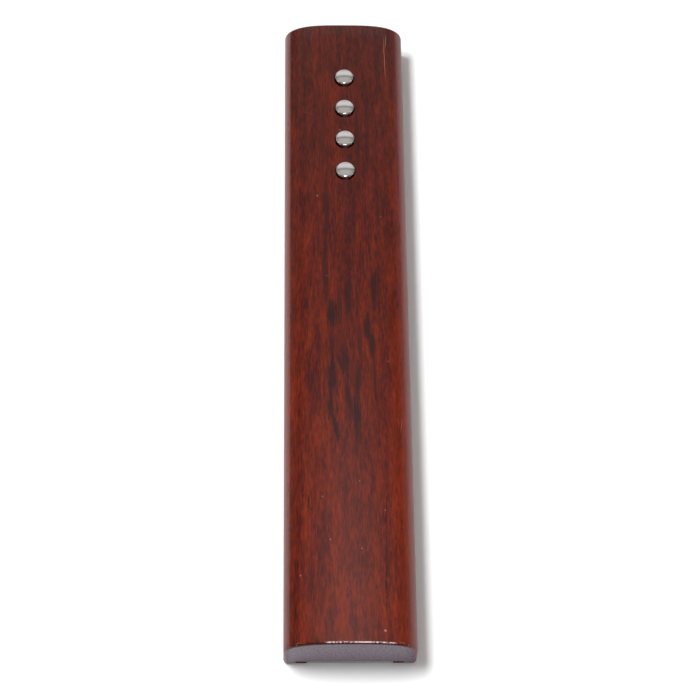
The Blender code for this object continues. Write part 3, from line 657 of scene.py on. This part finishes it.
def placed(name: str, data: bpy.types.ID) -> Piece:
    """An object of a mesh, a lamp or a camera, put in the scene."""
    obj = bpy.data.objects.new(name, data)
    bpy.context.scene.collection.objects.link(obj)
    return obj


def ring_faces(rings: int, columns: int, first: int = 0) -> list[list[int]]:
    """Quads between rings of points that each close on themselves.

    Args:
        rings: How many rings.
        columns: Points in a ring.
        first: The first ring's first point number.

    Returns:
        The quads.
    """
    i, j = np.meshgrid(np.arange(rings - 1) * columns + first, np.arange(columns), indexing="ij")
    after = (j + 1) % columns
    quads = np.stack([i + j, i + after, i + columns + after, i + columns + j], axis=-1)
    return quads.reshape(-1, 4).tolist()


def capped(name: str, rings: np.ndarray) -> Piece:
    """A closed object of rings joined by quads, with a flat face over the first and the last.

    Args:
        name: The object's name.
        rings: An array of rings by points by 3.

    Returns:
        The object.
    """
    count, columns, _ = rings.shape
    ends = np.array([[0], [(count - 1) * columns]]) + np.arange(columns)
    return new_object(name, rings.reshape(-1, 3), ring_faces(count, columns) + ends.tolist())


def carried(name: str, section: np.ndarray, *stations: float) -> Piece:
    """A section's points (x, z) carried along Y, with a ring at each station."""
    return capped(name, np.stack([np.insert(section, 1, y, axis=1) for y in stations]))


def turned(name: str, profile: np.ndarray, columns: int, place: Matrix) -> Piece:
    """A profile turned about Z, then placed.

    Point (r, h) of the profile becomes (r cos a, r sin a, h) for each angle a. The profile's
    ends, where r is 0, are single points, each with a fan of triangles.

    Args:
        name: The object's name.
        profile: Radius and height pairs.
        columns: Points round the axis.
        place: Where the turned shape goes.

    Returns:
        The closed object.
    """
    angle = np.linspace(0.0, 2 * np.pi, columns, endpoint=False)
    body = profile[1:-1]
    rings = np.stack([body[:, :1] * np.cos(angle), body[:, :1] * np.sin(angle),
                      np.broadcast_to(body[:, 1:2], (len(body), columns))], axis=-1)
    poles = np.array([[0.0, 0.0, profile[0, 1]], [0.0, 0.0, profile[-1, 1]]])
    matrix = np.array(place)
    points = np.concatenate([poles, rings.reshape(-1, 3)]) @ matrix[:3, :3].T + matrix[:3, 3]
    j = np.arange(columns)
    after, last = (j + 1) % columns, 2 + (len(body) - 1) * columns
    fans = np.concatenate([np.stack([j * 0, 2 + j, 2 + after], axis=1),
                           np.stack([j * 0 + 1, last + after, last + j], axis=1)])
    return new_object(name, points, ring_faces(len(body), columns, first=2) + fans.tolist())


def moved(x: float, y: float, z: float, tip: float = 0.0) -> Matrix:
    """A move, after a turn about X in degrees."""
    return Matrix.Translation((x, y, z)) @ Matrix.Rotation(math.radians(tip), 4, "X")


def fillet(centre: tuple[float, float], radius: float, start: float, end: float,
           steps: int = 6) -> np.ndarray:
    """The points of an arc about a centre, from one angle to another in degrees."""
    angle = np.radians(np.linspace(start, end, steps + 1))
    return np.array(centre) + radius * np.stack([np.cos(angle), np.sin(angle)], axis=1)


def block(name: str, low: Triple, high: Triple) -> Piece:
    """A block between two corners, as two rings."""
    square = np.array([(low[0], low[1]), (high[0], low[1]), (high[0], high[1]), (low[0], high[1])])
    return capped(name, np.stack([np.insert(square, 2, z, axis=1) for z in (low[2], high[2])]))


def settle(obj: Piece) -> Piece:
    """Replaces an object's mesh with what its modifiers make of it.

    Args:
        obj: The object.

    Returns:
        The same object, with no modifiers.
    """
    bpy.context.view_layer.update()
    graph = bpy.context.evaluated_depsgraph_get()
    mesh = bpy.data.meshes.new_from_object(obj.evaluated_get(graph), depsgraph=graph)
    obj.modifiers.clear()
    obj.data = mesh
    mesh.name = obj.name
    return obj


def soften(obj: Piece, width: float, angle: float = 40.0) -> Piece:
    """Rounds an object's sharper edges.

    Args:
        obj: The object.
        width: How wide the rounding is.
        angle: The angle in degrees above which an edge is rounded.

    Returns:
        The same object.
    """
    modifier = obj.modifiers.new("soften", "BEVEL")
    modifier.width = width
    modifier.segments = 2
    modifier.limit_method = "ANGLE"
    modifier.angle_limit = math.radians(angle)
    modifier.harden_normals = False
    return settle(obj)


def carve(obj: Piece, cutters: list[Piece]) -> Piece:
    """Cuts shapes out of an object one after another, and removes the shapes.

    Args:
        obj: The object that is cut.
        cutters: The shapes.

    Returns:
        The same object.
    """
    for cutter in cutters:
        modifier = obj.modifiers.new("cut", "BOOLEAN")
        modifier.operation = "DIFFERENCE"
        modifier.solver = "EXACT"
        modifier.object = cutter
    settle(obj)
    for cutter in cutters:
        bpy.data.objects.remove(cutter, do_unlink=True)
    return obj


def shaft(name: str, start: Triple, end: Triple, radius: float, columns: int = 48) -> Piece:
    """A round cutter between two points.

    Args:
        name: Its name.
        start: The middle of its first end.
        end: The middle of its other end.
        radius: Its radius.
        columns: Points round it.

    Returns:
        The cutter.
    """
    first, axis = Vector(start), Vector(end) - Vector(start)
    profile = np.array([(0.0, axis.length), (radius, axis.length), (radius, 0.0), (0.0, 0.0)])
    turn = axis.to_track_quat("Z", "Y").to_matrix().to_4x4()
    return turned(name, profile, columns, Matrix.Translation(first) @ turn)


def piped(name: str, path: np.ndarray, radius: float, columns: int) -> Piece:
    """A round wire along a path.

    The ring at each point lies square to the path. Its first direction is the cross product of
    the path's direction with the world axis that the path runs along least.

    Args:
        name: The object's name.
        path: The centre line's points.
        radius: The wire's radius.
        columns: Points round the wire.

    Returns:
        The closed object.
    """
    along = np.gradient(path, axis=0)
    along /= np.linalg.norm(along, axis=1, keepdims=True)
    axis = np.eye(3)[np.argmin(np.abs(along).max(axis=0))]
    side = np.cross(along, axis)
    side /= np.linalg.norm(side, axis=1, keepdims=True)
    angle = np.linspace(0.0, 2 * np.pi, columns, endpoint=False)[None, :, None]
    rings = path[:, None] + radius * np.cos(angle) * side[:, None]
    return capped(name, rings + radius * np.sin(angle) * np.cross(along, side)[:, None])


def dress(obj: Piece, finish: Finish, slot: str, *nodes: str, body: str = "handset",
          angle: float = 34.0) -> None:
    """Shades a piece, gives it its finish and its body, and hides the nodes that it replaces.

    Args:
        obj: The piece.
        finish: Its finish.
        slot: The name of a material slot; not used.
        nodes: The nodes that it replaces.
        body: The body that it rides on.
        angle: The least angle of an edge that stays sharp, in degrees.
    """
    obj.data.shade_smooth()
    obj.data.set_sharp_from_angle(angle=math.radians(angle))
    obj.data.materials.clear()
    obj.data.materials.append(finish.material())
    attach(obj, body)
    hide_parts(*nodes)
    LOG.info("piece %s on %s: %d faces", obj.name, body, len(obj.data.polygons))


def middle(node: str) -> Vector:
    """The middle of a node's box."""
    low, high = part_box(node)
    return (low + high) / 2


def radius_of(node: str) -> float:
    """Half a node's breadth, which is its radius if it is round."""
    low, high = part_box(node)
    return (high.x - low.x) / 2


@dataclass
class WoodenBody:
    """The hardwood bar: its crowned section, its rounded arrises and everything cut into it."""

    side_height: float = 0.0116
    breadth_power: float = 3.27
    rise_power: float = 2.07
    arris: float = 0.00125
    lip_thickness: float = 0.0011
    lip_reach: float = 0.0036
    channel_depth: float = 0.0026
    ledge_width: float = 0.0046
    lead_half: float = 0.0032
    lead_room: float = 0.0038
    button_radius: float = 0.0034
    button_gap: float = 0.0004
    emitter_radius: float = 0.0028
    plate_pilot: float = 0.00155
    board_pilot: float = 0.0012
    bore_lip: float = 0.00008
    crown_steps: int = 150
    arris_steps: int = 7
    length_steps: int = 40
    finish: LacqueredHardwood = field(default_factory=LacqueredHardwood)

    def __post_init__(self) -> None:
        """Reads the bar's box."""
        self.low, self.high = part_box("wooden_body")
        self.half = self.high.x
        self.height = self.high.z

    def outline(self, inset: float) -> np.ndarray:
        """The section, moved inwards by an inset.

        The crown is z = side + (height - side) (1 - |x / half|^a)^(1 / b), with x spaced as the
        power 2 / a of a cosine. The inset moves each point back along its own normal.

        Args:
            inset: How far inwards, in metres.

        Returns:
            Points (x, z), anticlockwise from the lower right corner.
        """
        cosine = np.cos(np.linspace(0.0, np.pi, self.crown_steps + 1))
        x = self.half * np.sign(cosine) * np.abs(cosine) ** (2.0 / self.breadth_power)
        share = np.clip(1.0 - np.abs(x / self.half) ** self.breadth_power, 0.0, 1.0)
        z = self.side_height + (self.height - self.side_height) * share ** (1.0 / self.rise_power)
        r = self.arris
        right = fillet((self.half - r, r), r, -90.0, 0.0)
        left = fillet((r - self.half, r), r, 180.0, 270.0)
        section = np.concatenate([right, np.stack([x, z], axis=1), left])
        along = np.roll(section, -1, axis=0) - np.roll(section, 1, axis=0)
        along /= np.maximum(np.linalg.norm(along, axis=1, keepdims=True), 1e-12)
        return section - np.stack([along[:, 1], -along[:, 0]], axis=1) * inset

    def rings(self) -> np.ndarray:
        """The section carried along Y, with a quarter-round arris at each end."""
        turn = np.linspace(0.0, np.pi / 2, self.arris_steps + 1)
        inset = self.arris * (1.0 - np.sin(turn)) * 0.999
        back = self.arris * (1.0 - np.cos(turn))
        near, far = self.low.y + back, (self.high.y - back)[::-1]
        length = np.linspace(near[-1], far[0], self.length_steps + 2)[1:-1]
        y = np.concatenate([near, length, far])
        insets = np.concatenate([inset, np.zeros(len(length)), inset[::-1]])
        return np.stack([np.insert(self.outline(d), 1, at, axis=1) for d, at in zip(insets, y)])

    def pockets(self, ceiling: float) -> list[Piece]:
        """The channel, the pockets and the leads' groove.

        Args:
            ceiling: The top of the switches' pocket.

        Returns:
            The cutters.
        """
        gap = TOUCH_GAP
        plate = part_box("base_plate")[1]
        board_low, board_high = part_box("circuit_board")
        tray_low, tray_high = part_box("battery_tray")
        slot = plate.x + gap
        mouth = slot - self.lip_reach
        inner = mouth - self.ledge_width
        start, end = self.low.y - 0.01, plate.y + gap
        near, far = board_low.y - gap, board_high.y + gap
        below = self.channel_depth / 2
        spans = {
            "channel_mouth": ((-mouth, start, -0.01), (mouth, end, self.lip_thickness * 1.5)),
            "channel_slot": ((-slot, start, self.lip_thickness), (slot, end, self.channel_depth)),
            "board_pocket": ((-mouth, near, below), (mouth, far, board_high.z + gap)),
            "switch_pocket": ((-inner, near, below), (inner, far, ceiling)),
            "battery_pocket": ((tray_low.x - gap, tray_low.y - gap, below),
                               (tray_high.x + gap, tray_high.y + gap, tray_high.z + gap)),
            "lead_groove": ((-self.lead_half, tray_high.y - OVERCUT, below),
                            (self.lead_half, board_low.y + OVERCUT,
                             self.channel_depth + self.lead_room)),
        }
        return [block(name, low, high) for name, (low, high) in spans.items()]

    def bores(self, ceiling: float) -> list[Piece]:
        """The button bores with a worn lip, the window's seat and the emitter's bore.

        Args:
            ceiling: The top of the switches' pocket, which the bores reach into.

        Returns:
            The cutters.
        """
        shapes = []
        lip, radius = self.bore_lip, self.button_radius + self.button_gap
        top, bottom = self.height + 4 * OVERCUT, ceiling - 3 * OVERCUT
        for index in FOUR:
            arc = fillet((radius + lip, self.height - lip * 1.3), lip, 90.0, 180.0, 4)
            profile = np.concatenate([[(0.0, top), (radius + lip, top)], arc,
                                      [(radius, bottom), (0.0, bottom)]])
            place = moved(0.0, middle(f"button_cap_{index}").y, 0.0)
            shapes.append(turned(f"bore_{index}", profile, 64, place))
        z, end = middle("infrared_window").z, self.high.y + 0.01
        seat, start = radius_of("infrared_window") + TOUCH_GAP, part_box("infrared_window")[0].y
        shapes.append(shaft("window_seat", (0, start - TOUCH_GAP, z), (0, end, z), seat, 64))
        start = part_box("infrared_emitter")[0].y
        shapes.append(shaft("emitter_bore", (0, start, z), (0, end, z), self.emitter_radius, 48))
        return shapes

    def pilots(self) -> list[Piece]:
        """The holes that the screws of the plate and of the board bite into."""
        shapes = []
        for kind, radius in (("plate", self.plate_pilot), ("board", self.board_pilot)):
            for index in FOUR:
                node = f"{kind}_screw_{index}"
                x, y, _ = middle(node)
                top = (x, y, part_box(node)[1].z + TOUCH_GAP)
                shapes.append(shaft(f"{kind}_pilot_{index}", (x, y, OVERCUT), top, radius, 40))
        return shapes

    def build(self) -> None:
        """Makes the bar, cuts it and dresses it."""
        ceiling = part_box("button_cap_1")[0].z + OVERCUT + TOUCH_GAP
        bar = capped("wooden_bar", self.rings())
        carve(bar, self.pockets(ceiling) + self.bores(ceiling) + self.pilots())
        dress(bar, self.finish, "hardwood", "wooden_body")


@dataclass
class ButtonCap:
    """A turned and plated cap: a shallow dome, a rounded edge and a flange below the wood."""

    index: int
    radius: float = 0.0034
    dome: float = 0.00052
    edge: float = 0.00060
    flange_thickness: float = 0.0010
    flange_chamfer: float = 0.0001
    finish: Metal = Metal("button_chrome", (0.86, 0.805, 0.75), 0.055, 0.03)

    def profile(self) -> np.ndarray:
        """Radius and height of the cap's outer side, from the middle of the dome down.

        The dome's height falls by dome times the square of the radius over the flat's radius.
        """
        low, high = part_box(f"button_cap_{self.index}")
        flange, chamfer = (high.x - low.x) / 2, self.flange_chamfer
        flat = self.radius - self.edge
        share = np.linspace(0.0, 1.0, 13)
        dome = np.stack([flat * share, high.z - self.dome * share**2], axis=1)
        slope = math.degrees(math.atan(2 * self.dome / flat))
        edge = fillet((flat, high.z - self.dome - self.edge), self.edge, 90.0 - slope, 0.0, 9)
        top = low.z + self.flange_thickness
        skirt = [(self.radius, top), (flange - chamfer, top), (flange, top - chamfer),
                 (flange, low.z), (0.0, low.z)]
        return np.concatenate([dome, edge[1:], skirt])

    def build(self) -> None:
        """Turns the cap and dresses it."""
        node = f"button_cap_{self.index}"
        cap = turned(f"cap_{self.index}", self.profile(), 96, moved(0.0, middle(node).y, 0.0))
        dress(cap, self.finish, "button_chrome", node, body=f"button_{self.index}", angle=40.0)


@dataclass
class CoverPlate:
    """A thin aluminium plate with wings that run in the channel's slot."""

    node: str
    body: str
    name: str
    lip_reach: float = 0.0036
    wing_bottom: float = 0.0014
    edge: float = 0.00014
    finish: Metal = Metal("cover_metal", (0.60, 0.60, 0.61), 0.30, 0.05, brush=(9.0, 0.05, 9.0))

    def blank(self) -> Piece:
        """The plate's T section, anticlockwise from the stem's lower right, carried along it."""
        low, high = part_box(self.node)
        stem, wing = high.x - self.lip_reach, self.wing_bottom
        right = [(stem, low.z), (stem, wing), (high.x, wing), (high.x, high.z)]
        section = np.array(right + [(-x, z) for x, z in reversed(right)])
        return soften(carried(self.name, section, low.y, high.y), self.edge)

    def cuts(self) -> list[Piece]:
        """What is cut into the plate."""
        return []

    def build(self) -> None:
        """Cuts the plate and dresses it."""
        plate = carve(self.blank(), self.cuts())
        dress(plate, self.finish, "cover_metal", self.node, body=self.body)


@dataclass
class BasePlate(CoverPlate):
    """The fixed plate, with a countersunk hole for each of its screws."""

    shank: float = 0.00155
    head: float = 0.0026
    face: float = 0.0005
    head_height: float = 0.0012
    play: float = 0.00015

    def cuts(self) -> list[Piece]:
        """The countersinks."""
        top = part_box(self.node)[1].z + OVERCUT
        face = self.face + self.play
        profile = np.array([
            (0.0, top), (self.shank, top), (self.shank, face + self.head_height),
            (self.head, face + self.head_height / 6), (self.head, -OVERCUT), (0.0, -OVERCUT),
        ])
        shapes = []
        for index in FOUR:
            x, y, _ = middle(f"plate_screw_{index}")
            shapes.append(turned(f"sink_{index}", profile, 64, moved(x, y, 0.0)))
        return shapes


@dataclass
class BatteryDoor(CoverPlate):
    """The sliding door, with round-bottomed grip grooves."""

    count: int = 5
    width: float = 0.0007
    length: float = 0.014
    pitch: float = 0.0016
    from_end: float = 0.008
    lift: float = 0.00005

    def cuts(self) -> list[Piece]:
        """The grip grooves: short rods laid along X, half sunk in the outer face."""
        low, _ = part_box(self.node)
        half, z = self.length / 2, low.z - self.lift
        places = [low.y + self.from_end + index * self.pitch for index in range(self.count)]
        return [shaft(f"grip_{index}", (-half, y, z), (half, y, z), self.width / 2, 24)
                for index, y in enumerate(places)]


@dataclass
class CrossScrew:
    """A screw with a cross recess, its head down."""

    node: str
    name: str
    head: float
    shank: float
    face: float
    seat: float
    dome: float
    thread_pitch: float = 0.0009
    thread_depth: float = 0.00018
    slot_half: float = 0.0003
    slot_depth: float = 0.0005
    finish: Metal = Metal("screw_steel", (0.54, 0.54, 0.55), 0.24, 0.08)

    def profile(self) -> np.ndarray:
        """The point, then a ridged shank, then the head's dome or cone, top to bottom."""
        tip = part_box(self.node)[1].z
        head, face, dome, pitch = self.head, self.face, self.dome, self.thread_pitch
        start = self.seat + pitch
        turns = int((tip - self.shank * 2 - start) / pitch)
        step = np.arange(turns * 2 + 1)
        radius = np.where(step % 2 == 0, self.shank - self.thread_depth, self.shank)
        thread = np.stack([radius, start + step * pitch / 2], axis=1)[::-1]
        tail = [(0.0, tip), (self.shank * 0.25, tip - self.shank * 0.4)]
        if dome == 0:
            bottom = [(head, face + (self.seat - face) / 6), (head, face + 0.00003),
                      (head * 0.98, face), (0.0, face)]
        else:
            bottom = [(head, self.seat), (head, face + dome), (head * 0.86, face + dome * 0.2),
                      (head * 0.5, face), (0.0, face)]
        return np.concatenate([tail, thread, [(self.shank, self.seat)], bottom])

    def build(self) -> None:
        """Turns the screw, cuts its recess and dresses it."""
        x, y, _ = middle(self.node)
        screw = turned(self.name, self.profile(), 40, moved(x, y, 0.0))
        low, high = self.face - OVERCUT, self.face + self.slot_depth
        reach, half = self.head * 0.62, self.slot_half
        carve(screw, [block("recess", (x - wide, y - tall, low), (x + wide, y + tall, high))
                      for wide, tall in ((reach, half), (half, reach))])
        dress(screw, self.finish, "screw_steel", self.node)


@dataclass
class InfraredWindow:
    """The polished disc in front of the emitter, with a softened rim."""

    rim: float = 0.00035
    finish: SmokedWindow = SmokedWindow()

    def build(self) -> None:
        """Turns the disc and dresses it."""
        low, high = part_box("infrared_window")
        radius, depth, rim = radius_of("infrared_window"), high.y - low.y, self.rim
        arc = fillet((radius - rim, depth - rim), rim, 90.0, 0.0)
        profile = np.concatenate([[(0.0, depth), (radius * 0.5, depth)], arc,
                                  [(radius, 0.0), (0.0, 0.0)]])
        place = moved(0.0, low.y, (low.z + high.z) / 2, -90.0)
        disc = turned("window_disc", profile, 96, place)
        dress(disc, self.finish, "smoked_window", "infrared_window")


@dataclass
class BatteryBay:
    """The tray, its two cells, their springs and their contact plates."""

    cell_length: float = 0.0445
    nub_radius: float = 0.0019
    nub_height: float = 0.0009
    roll: float = 0.0004
    recess: float = 0.0003
    ring: tuple[float, float] = (38.0, 41.5)
    wall: float = 0.0012
    tray_edge: float = 0.0002
    contact_edge: float = 0.00012
    wire: float = 0.00025
    large: float = 0.0036
    small: float = 0.0022
    turns: float = 3.5
    tray_finish: Moulding = Moulding("tray_plastic")
    nickel: Metal = Metal("nickel_plate", (0.66, 0.63, 0.58), 0.24, 0.08)

    def build(self) -> None:
        """Makes the tray, then each cell with its spring and its contact plate."""
        self.tray()
        for index, facing in ((1, Facing.FAR), (2, Facing.NEAR)):
            self.cell(index, facing.value)
            self.spring(index, facing.value)
            self.contact(index)

    def tray(self) -> None:
        """The tray, with a trough over each cell and softened rims."""
        low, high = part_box("battery_tray")
        tray = block("cell_tray", tuple(low), tuple(high))
        cuts = []
        for index in (1, 2):
            node = f"battery_{index}"
            x, _, z = middle(node)
            radius = radius_of(node) + TOUCH_GAP
            arch = fillet((x, z), radius, 0.0, 180.0, 40)
            section = np.concatenate([arch, [(x - radius, -OVERCUT), (x + radius, -OVERCUT)]])
            cuts.append(carried(f"trough_{index}", section, low.y + self.wall, high.y - self.wall))
        soften(carve(tray, cuts), self.tray_edge, angle=60.0)
        dress(tray, self.tray_finish, "black_plastic", "battery_tray")

    def cell(self, index: int, facing: float) -> None:
        """One cell: a rolled jacket, a recessed flat end and a raised nub."""
        node = f"battery_{index}"
        low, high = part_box(node)
        radius, length = radius_of(node), self.cell_length
        shoulder = length - self.nub_height
        roll, nub, flat = self.roll, self.nub_radius, shoulder - self.recess
        top = fillet((radius - roll, shoulder - roll), roll, 90.0, 0.0, 5)
        bottom = fillet((radius - roll, roll), roll, 0.0, -90.0, 5)
        profile = np.concatenate([
            [(0.0, length), (nub * 0.8, length), (nub, length - 0.0002), (nub, flat),
             (radius - roll * 2.2, flat)],
            top, bottom, [(radius - roll * 2.4, 0.0002), (0.0, 0.0002)]])
        base = low.y if facing > 0 else high.y
        ring = sorted(base / MM + facing * along for along in self.ring)
        jacket = CellJacket(f"cell_jacket_{index}", ring_from=ring[0], ring_to=ring[1])
        place = moved((low.x + high.x) / 2, base, (low.z + high.z) / 2, -90.0 * facing)
        cell = turned(f"cell_{index}", profile, 72, place)
        dress(cell, jacket, "battery_jacket", node)

    def spring(self, index: int, facing: float) -> None:
        """A cone-shaped coil.

        Its centre line has the angle 2 pi turns t, a radius that falls evenly from large to
        small, and an even rise, for t from 0 to 1.
        """
        node = f"battery_spring_{index}"
        low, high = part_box(node)
        t = np.linspace(0.0, 1.0, int(self.turns * 32))
        angle = 2 * np.pi * self.turns * t
        radius = self.large + (self.small - self.large) * t
        start, end = (low.y, high.y) if facing > 0 else (high.y, low.y)
        inset = self.wire * facing
        x, _, z = middle(f"battery_{index}")
        path = np.stack([x + radius * np.cos(angle), start + inset + (end - start - 2 * inset) * t,
                         z + radius * np.sin(angle)], axis=1)
        coil = piped(f"coil_{index}", path, self.wire, 10)
        dress(coil, self.nickel, "nickel_plate", node, angle=60.0)

    def contact(self, index: int) -> None:
        """A pressed contact plate with softened edges."""
        node = f"contact_plate_{index}"
        low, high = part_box(node)
        plate = soften(block(f"contact_{index}", tuple(low), tuple(high)), self.contact_edge)
        dress(plate, self.nickel, "nickel_plate", node)


@dataclass
class Leads:
    """The two insulated leads from the tray to the board."""

    landing: float = 0.007
    red: Triple = (0.42, 0.018, 0.012)
    black: Triple = (0.016, 0.016, 0.018)

    def build(self) -> None:
        """Runs each lead straight along its groove, then up by 3 t^2 - 2 t^3 to the board."""
        for node, shade in (("positive_lead", "red"), ("negative_lead", "black")):
            low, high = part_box(node)
            radius = radius_of(node)
            rise = self.landing - 2 * radius
            straight = np.linspace(low.y, high.y - rise, 30, endpoint=False)
            t = np.linspace(0.0, 1.0, 24)
            y = np.concatenate([straight, high.y - rise * (1 - t)])
            bottom, top = low.z + radius, high.z - radius
            ease = np.concatenate([np.zeros(len(straight)), t * t * (3 - 2 * t)])
            path = np.stack([np.full(len(y), middle(node).x), y, bottom + (top - bottom) * ease],
                            axis=1)
            finish = Moulding(f"{shade}_lead", getattr(self, shade), 0.38, grain_depth=0.003)
            lead = piped(f"wire_{node}", path, radius, 20)
            dress(lead, finish, f"{shade}_insulation", node, angle=60.0)


@dataclass
class BoardAssembly:
    """The circuit board and what is on it, which keep their frame shapes and get finishes."""

    chip: Moulding = Moulding("chip_epoxy", (0.018, 0.018, 0.020), grain_scale=14.0)
    transistor: Moulding = Moulding("transistor_epoxy", (0.016, 0.016, 0.018))
    resonator: Moulding = Moulding("resonator_coat", (0.03, 0.09, 0.40), 0.25)
    capacitor: Moulding = Moulding("capacitor_sleeve", (0.02, 0.03, 0.09), 0.25)
    switch: Moulding = Moulding("switch_plastic")
    plunger: Moulding = Moulding("plunger_plastic", (0.62, 0.58, 0.48), 0.5)
    resistor: Moulding = Moulding("resistor_coat", (0.52, 0.39, 0.24), 0.4)

    def build(self) -> None:
        """Puts a finish on each node."""
        dressed = {
            "circuit_board": BoardLaminate(), "encoder_chip": self.chip,
            "driver_transistor": self.transistor, "ceramic_resonator": self.resonator,
            "capacitor": self.capacitor, "infrared_emitter": ClearResin(),
            **{f"tact_switch_{index}": self.switch for index in FOUR},
            **{f"switch_plunger_{index}": self.plunger for index in FOUR},
            **{f"resistor_{index}": self.resistor for index in (1, 2)},
        }
        for node, finish in dressed.items():
            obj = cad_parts[node]
            obj.data.materials.clear()
            obj.data.materials.append(finish.material())
            LOG.info("node %s dressed in %s", node, finish.name)


@dataclass(frozen=True)
class Glow:
    """A soft round patch of light on the room's walls.

    Attributes:
        towards: Its direction from the remote.
        core: Half the angle that is fully bright, in degrees.
        reach: Half the angle of the whole patch, in degrees.
        strength: Its brightness.
    """

    towards: Triple
    core: float
    reach: float
    strength: float

    def level(self, bench: Bench, ray: Signal) -> Signal:
        """Its brightness for a ray."""
        inputs = {0: ray, 1: tuple(Vector(self.towards).normalized())}
        dot = bench.node("ShaderNodeVectorMath", {"operation": "DOT_PRODUCT"}, inputs, "Value")
        edges = (math.cos(math.radians(self.reach)), math.cos(math.radians(self.core)))
        return dot.step(*edges) * self.strength


@dataclass
class Studio:
    """A pale table, soft lights and the camera."""

    elevation: float = 62.83
    azimuth: float = 3.307
    distance: float = 0.753
    focal: float = 106.04
    roll: float = 0.0516
    aim: Triple = (0.00146, -0.00552, 0.0)
    table_half: float = 3.0
    paper: TablePaper = TablePaper()
    room_tint: Triple = (1.0, 0.965, 0.945)
    glows: tuple[Glow, ...] = (
        Glow((0.0, -0.28, 0.96), 5.0, 10.5, 6.0),
        Glow((-0.75, -0.10, 0.65), 4.0, 8.0, 4.0),
        Glow((0.75, -0.10, 0.65), 4.0, 8.0, 4.0),
    )

    lamps: tuple[tuple[str, Triple, tuple[float, float], float], ...] = (
        ("key", (-0.39, 0.10, 1.1), (0.26, 0.40), 14.7),
        ("fill", (0.10, -0.90, 0.70), (0.60, 0.60), 0.7),
    )

    def camera(self) -> None:
        """Places the camera, looking towards +Y and down."""
        tilt, turn = math.radians(self.elevation), math.radians(self.azimuth)
        ahead = Vector((math.sin(turn) * math.cos(tilt), math.cos(turn) * math.cos(tilt),
                        -math.sin(tilt)))
        data = bpy.data.cameras.new("camera")
        data.lens = self.focal
        data.sensor_width = 36.0
        data.clip_end = 20.0
        camera = placed("camera", data)
        facing = ahead.to_track_quat("-Z", "Y").to_matrix().to_4x4()
        spot = Vector(self.aim) - ahead * self.distance
        roll = Matrix.Rotation(self.roll, 4, "Z")
        camera.matrix_world = Matrix.Translation(spot) @ facing @ roll
        bpy.context.scene.camera = camera

    def table(self) -> None:
        """A large pale sheet just below the remote."""
        half = self.table_half
        corners = [(-half, -half, 0.0), (half, -half, 0.0), (half, half, 0.0), (-half, half, 0.0)]
        mesh = bpy.data.meshes.new("table")
        mesh.from_pydata(corners, [], [(0, 1, 2, 3)])
        table = placed("table", mesh)
        mesh.materials.append(self.paper.material())

    def lamp(self, name: str, place: Triple, size: tuple[float, float], power: float) -> None:
        """A soft light aimed at the remote, which isn't mirrored in it.

        Args:
            name: Its name.
            place: Where it hangs.
            size: Its breadth and its length along the remote.
            power: Its power in watts.
        """
        data = bpy.data.lights.new(name, "AREA")
        data.shape = "RECTANGLE"
        data.size_y, data.size = size
        data.energy = power
        lamp = placed(name, data)
        lamp.location = place
        lamp.rotation_euler = Vector(place).to_track_quat("Z", "Y").to_euler()
        lamp.visible_glossy = False

    def room(self) -> None:
        """Pale walls, a greyer ceiling in front, a dark side behind the camera, and the glows."""
        world = bpy.data.worlds.new("room")
        bpy.context.scene.world = world
        world.use_nodes = True
        bench = Bench(world.node_tree)
        ray = bench.node("ShaderNodeTexCoord", {}, {}, "Generated")
        x, y, z = bench.split(ray)
        climb = z / ((y * y + z * z) ** 0.5).most(0.01)
        high = climb + x * x * 0.17
        front = 0.74 - high.step(0.73, 0.86) * 0.43 + high.step(0.895, 0.945) * 0.17
        front = front * (1.0 - x.size().step(0.30, 0.80) * 0.60)
        front = front * (climb.step(0.10, 0.50) * 0.75 + 0.25)
        level = front * y.step(-0.30, 0.05) + y.step(0.05, -0.30) * 0.12
        for glow in self.glows:
            level = level + glow.level(bench, ray)
        colour = bench.shade(self.room_tint, level)
        shader = bench.node("ShaderNodeBackground", {}, {"Color": colour}, "Background")
        bench.surface("ShaderNodeOutputWorld", shader)

    def build(self) -> None:
        """Sets the stage."""
        self.table()
        self.camera()
        self.room()
        for lamp in self.lamps:
            self.lamp(*lamp)
        view = bpy.context.scene.view_settings
        view.view_transform = "Standard"
        view.look = "None"


def main() -> None:
    """Builds the stage and every piece in order."""
    logging.basicConfig(level=logging.INFO, format="%(name)s: %(message)s")
    Studio().build()
    WoodenBody().build()
    for index in FOUR:
        ButtonCap(index).build()
    BasePlate("base_plate", "handset", "cover_plate").build()
    BatteryDoor("battery_door", "door", "door_plate").build()
    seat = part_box("circuit_board")[0].z - TOUCH_GAP
    for index in FOUR:
        CrossScrew(f"plate_screw_{index}", f"cover_screw_{index}", head=0.0023, shank=0.00125,
                   face=0.0005, seat=0.0017, dome=0.0).build()
        CrossScrew(f"board_screw_{index}", f"board_fixing_{index}", head=0.0017, shank=0.0009,
                   face=seat - 0.0011, seat=seat, dome=0.0005, thread_pitch=0.0007,
                   thread_depth=0.00014).build()
    InfraredWindow().build()
    BatteryBay().build()
    Leads().build()
    BoardAssembly().build()


if __name__ == "__main__":
    main()
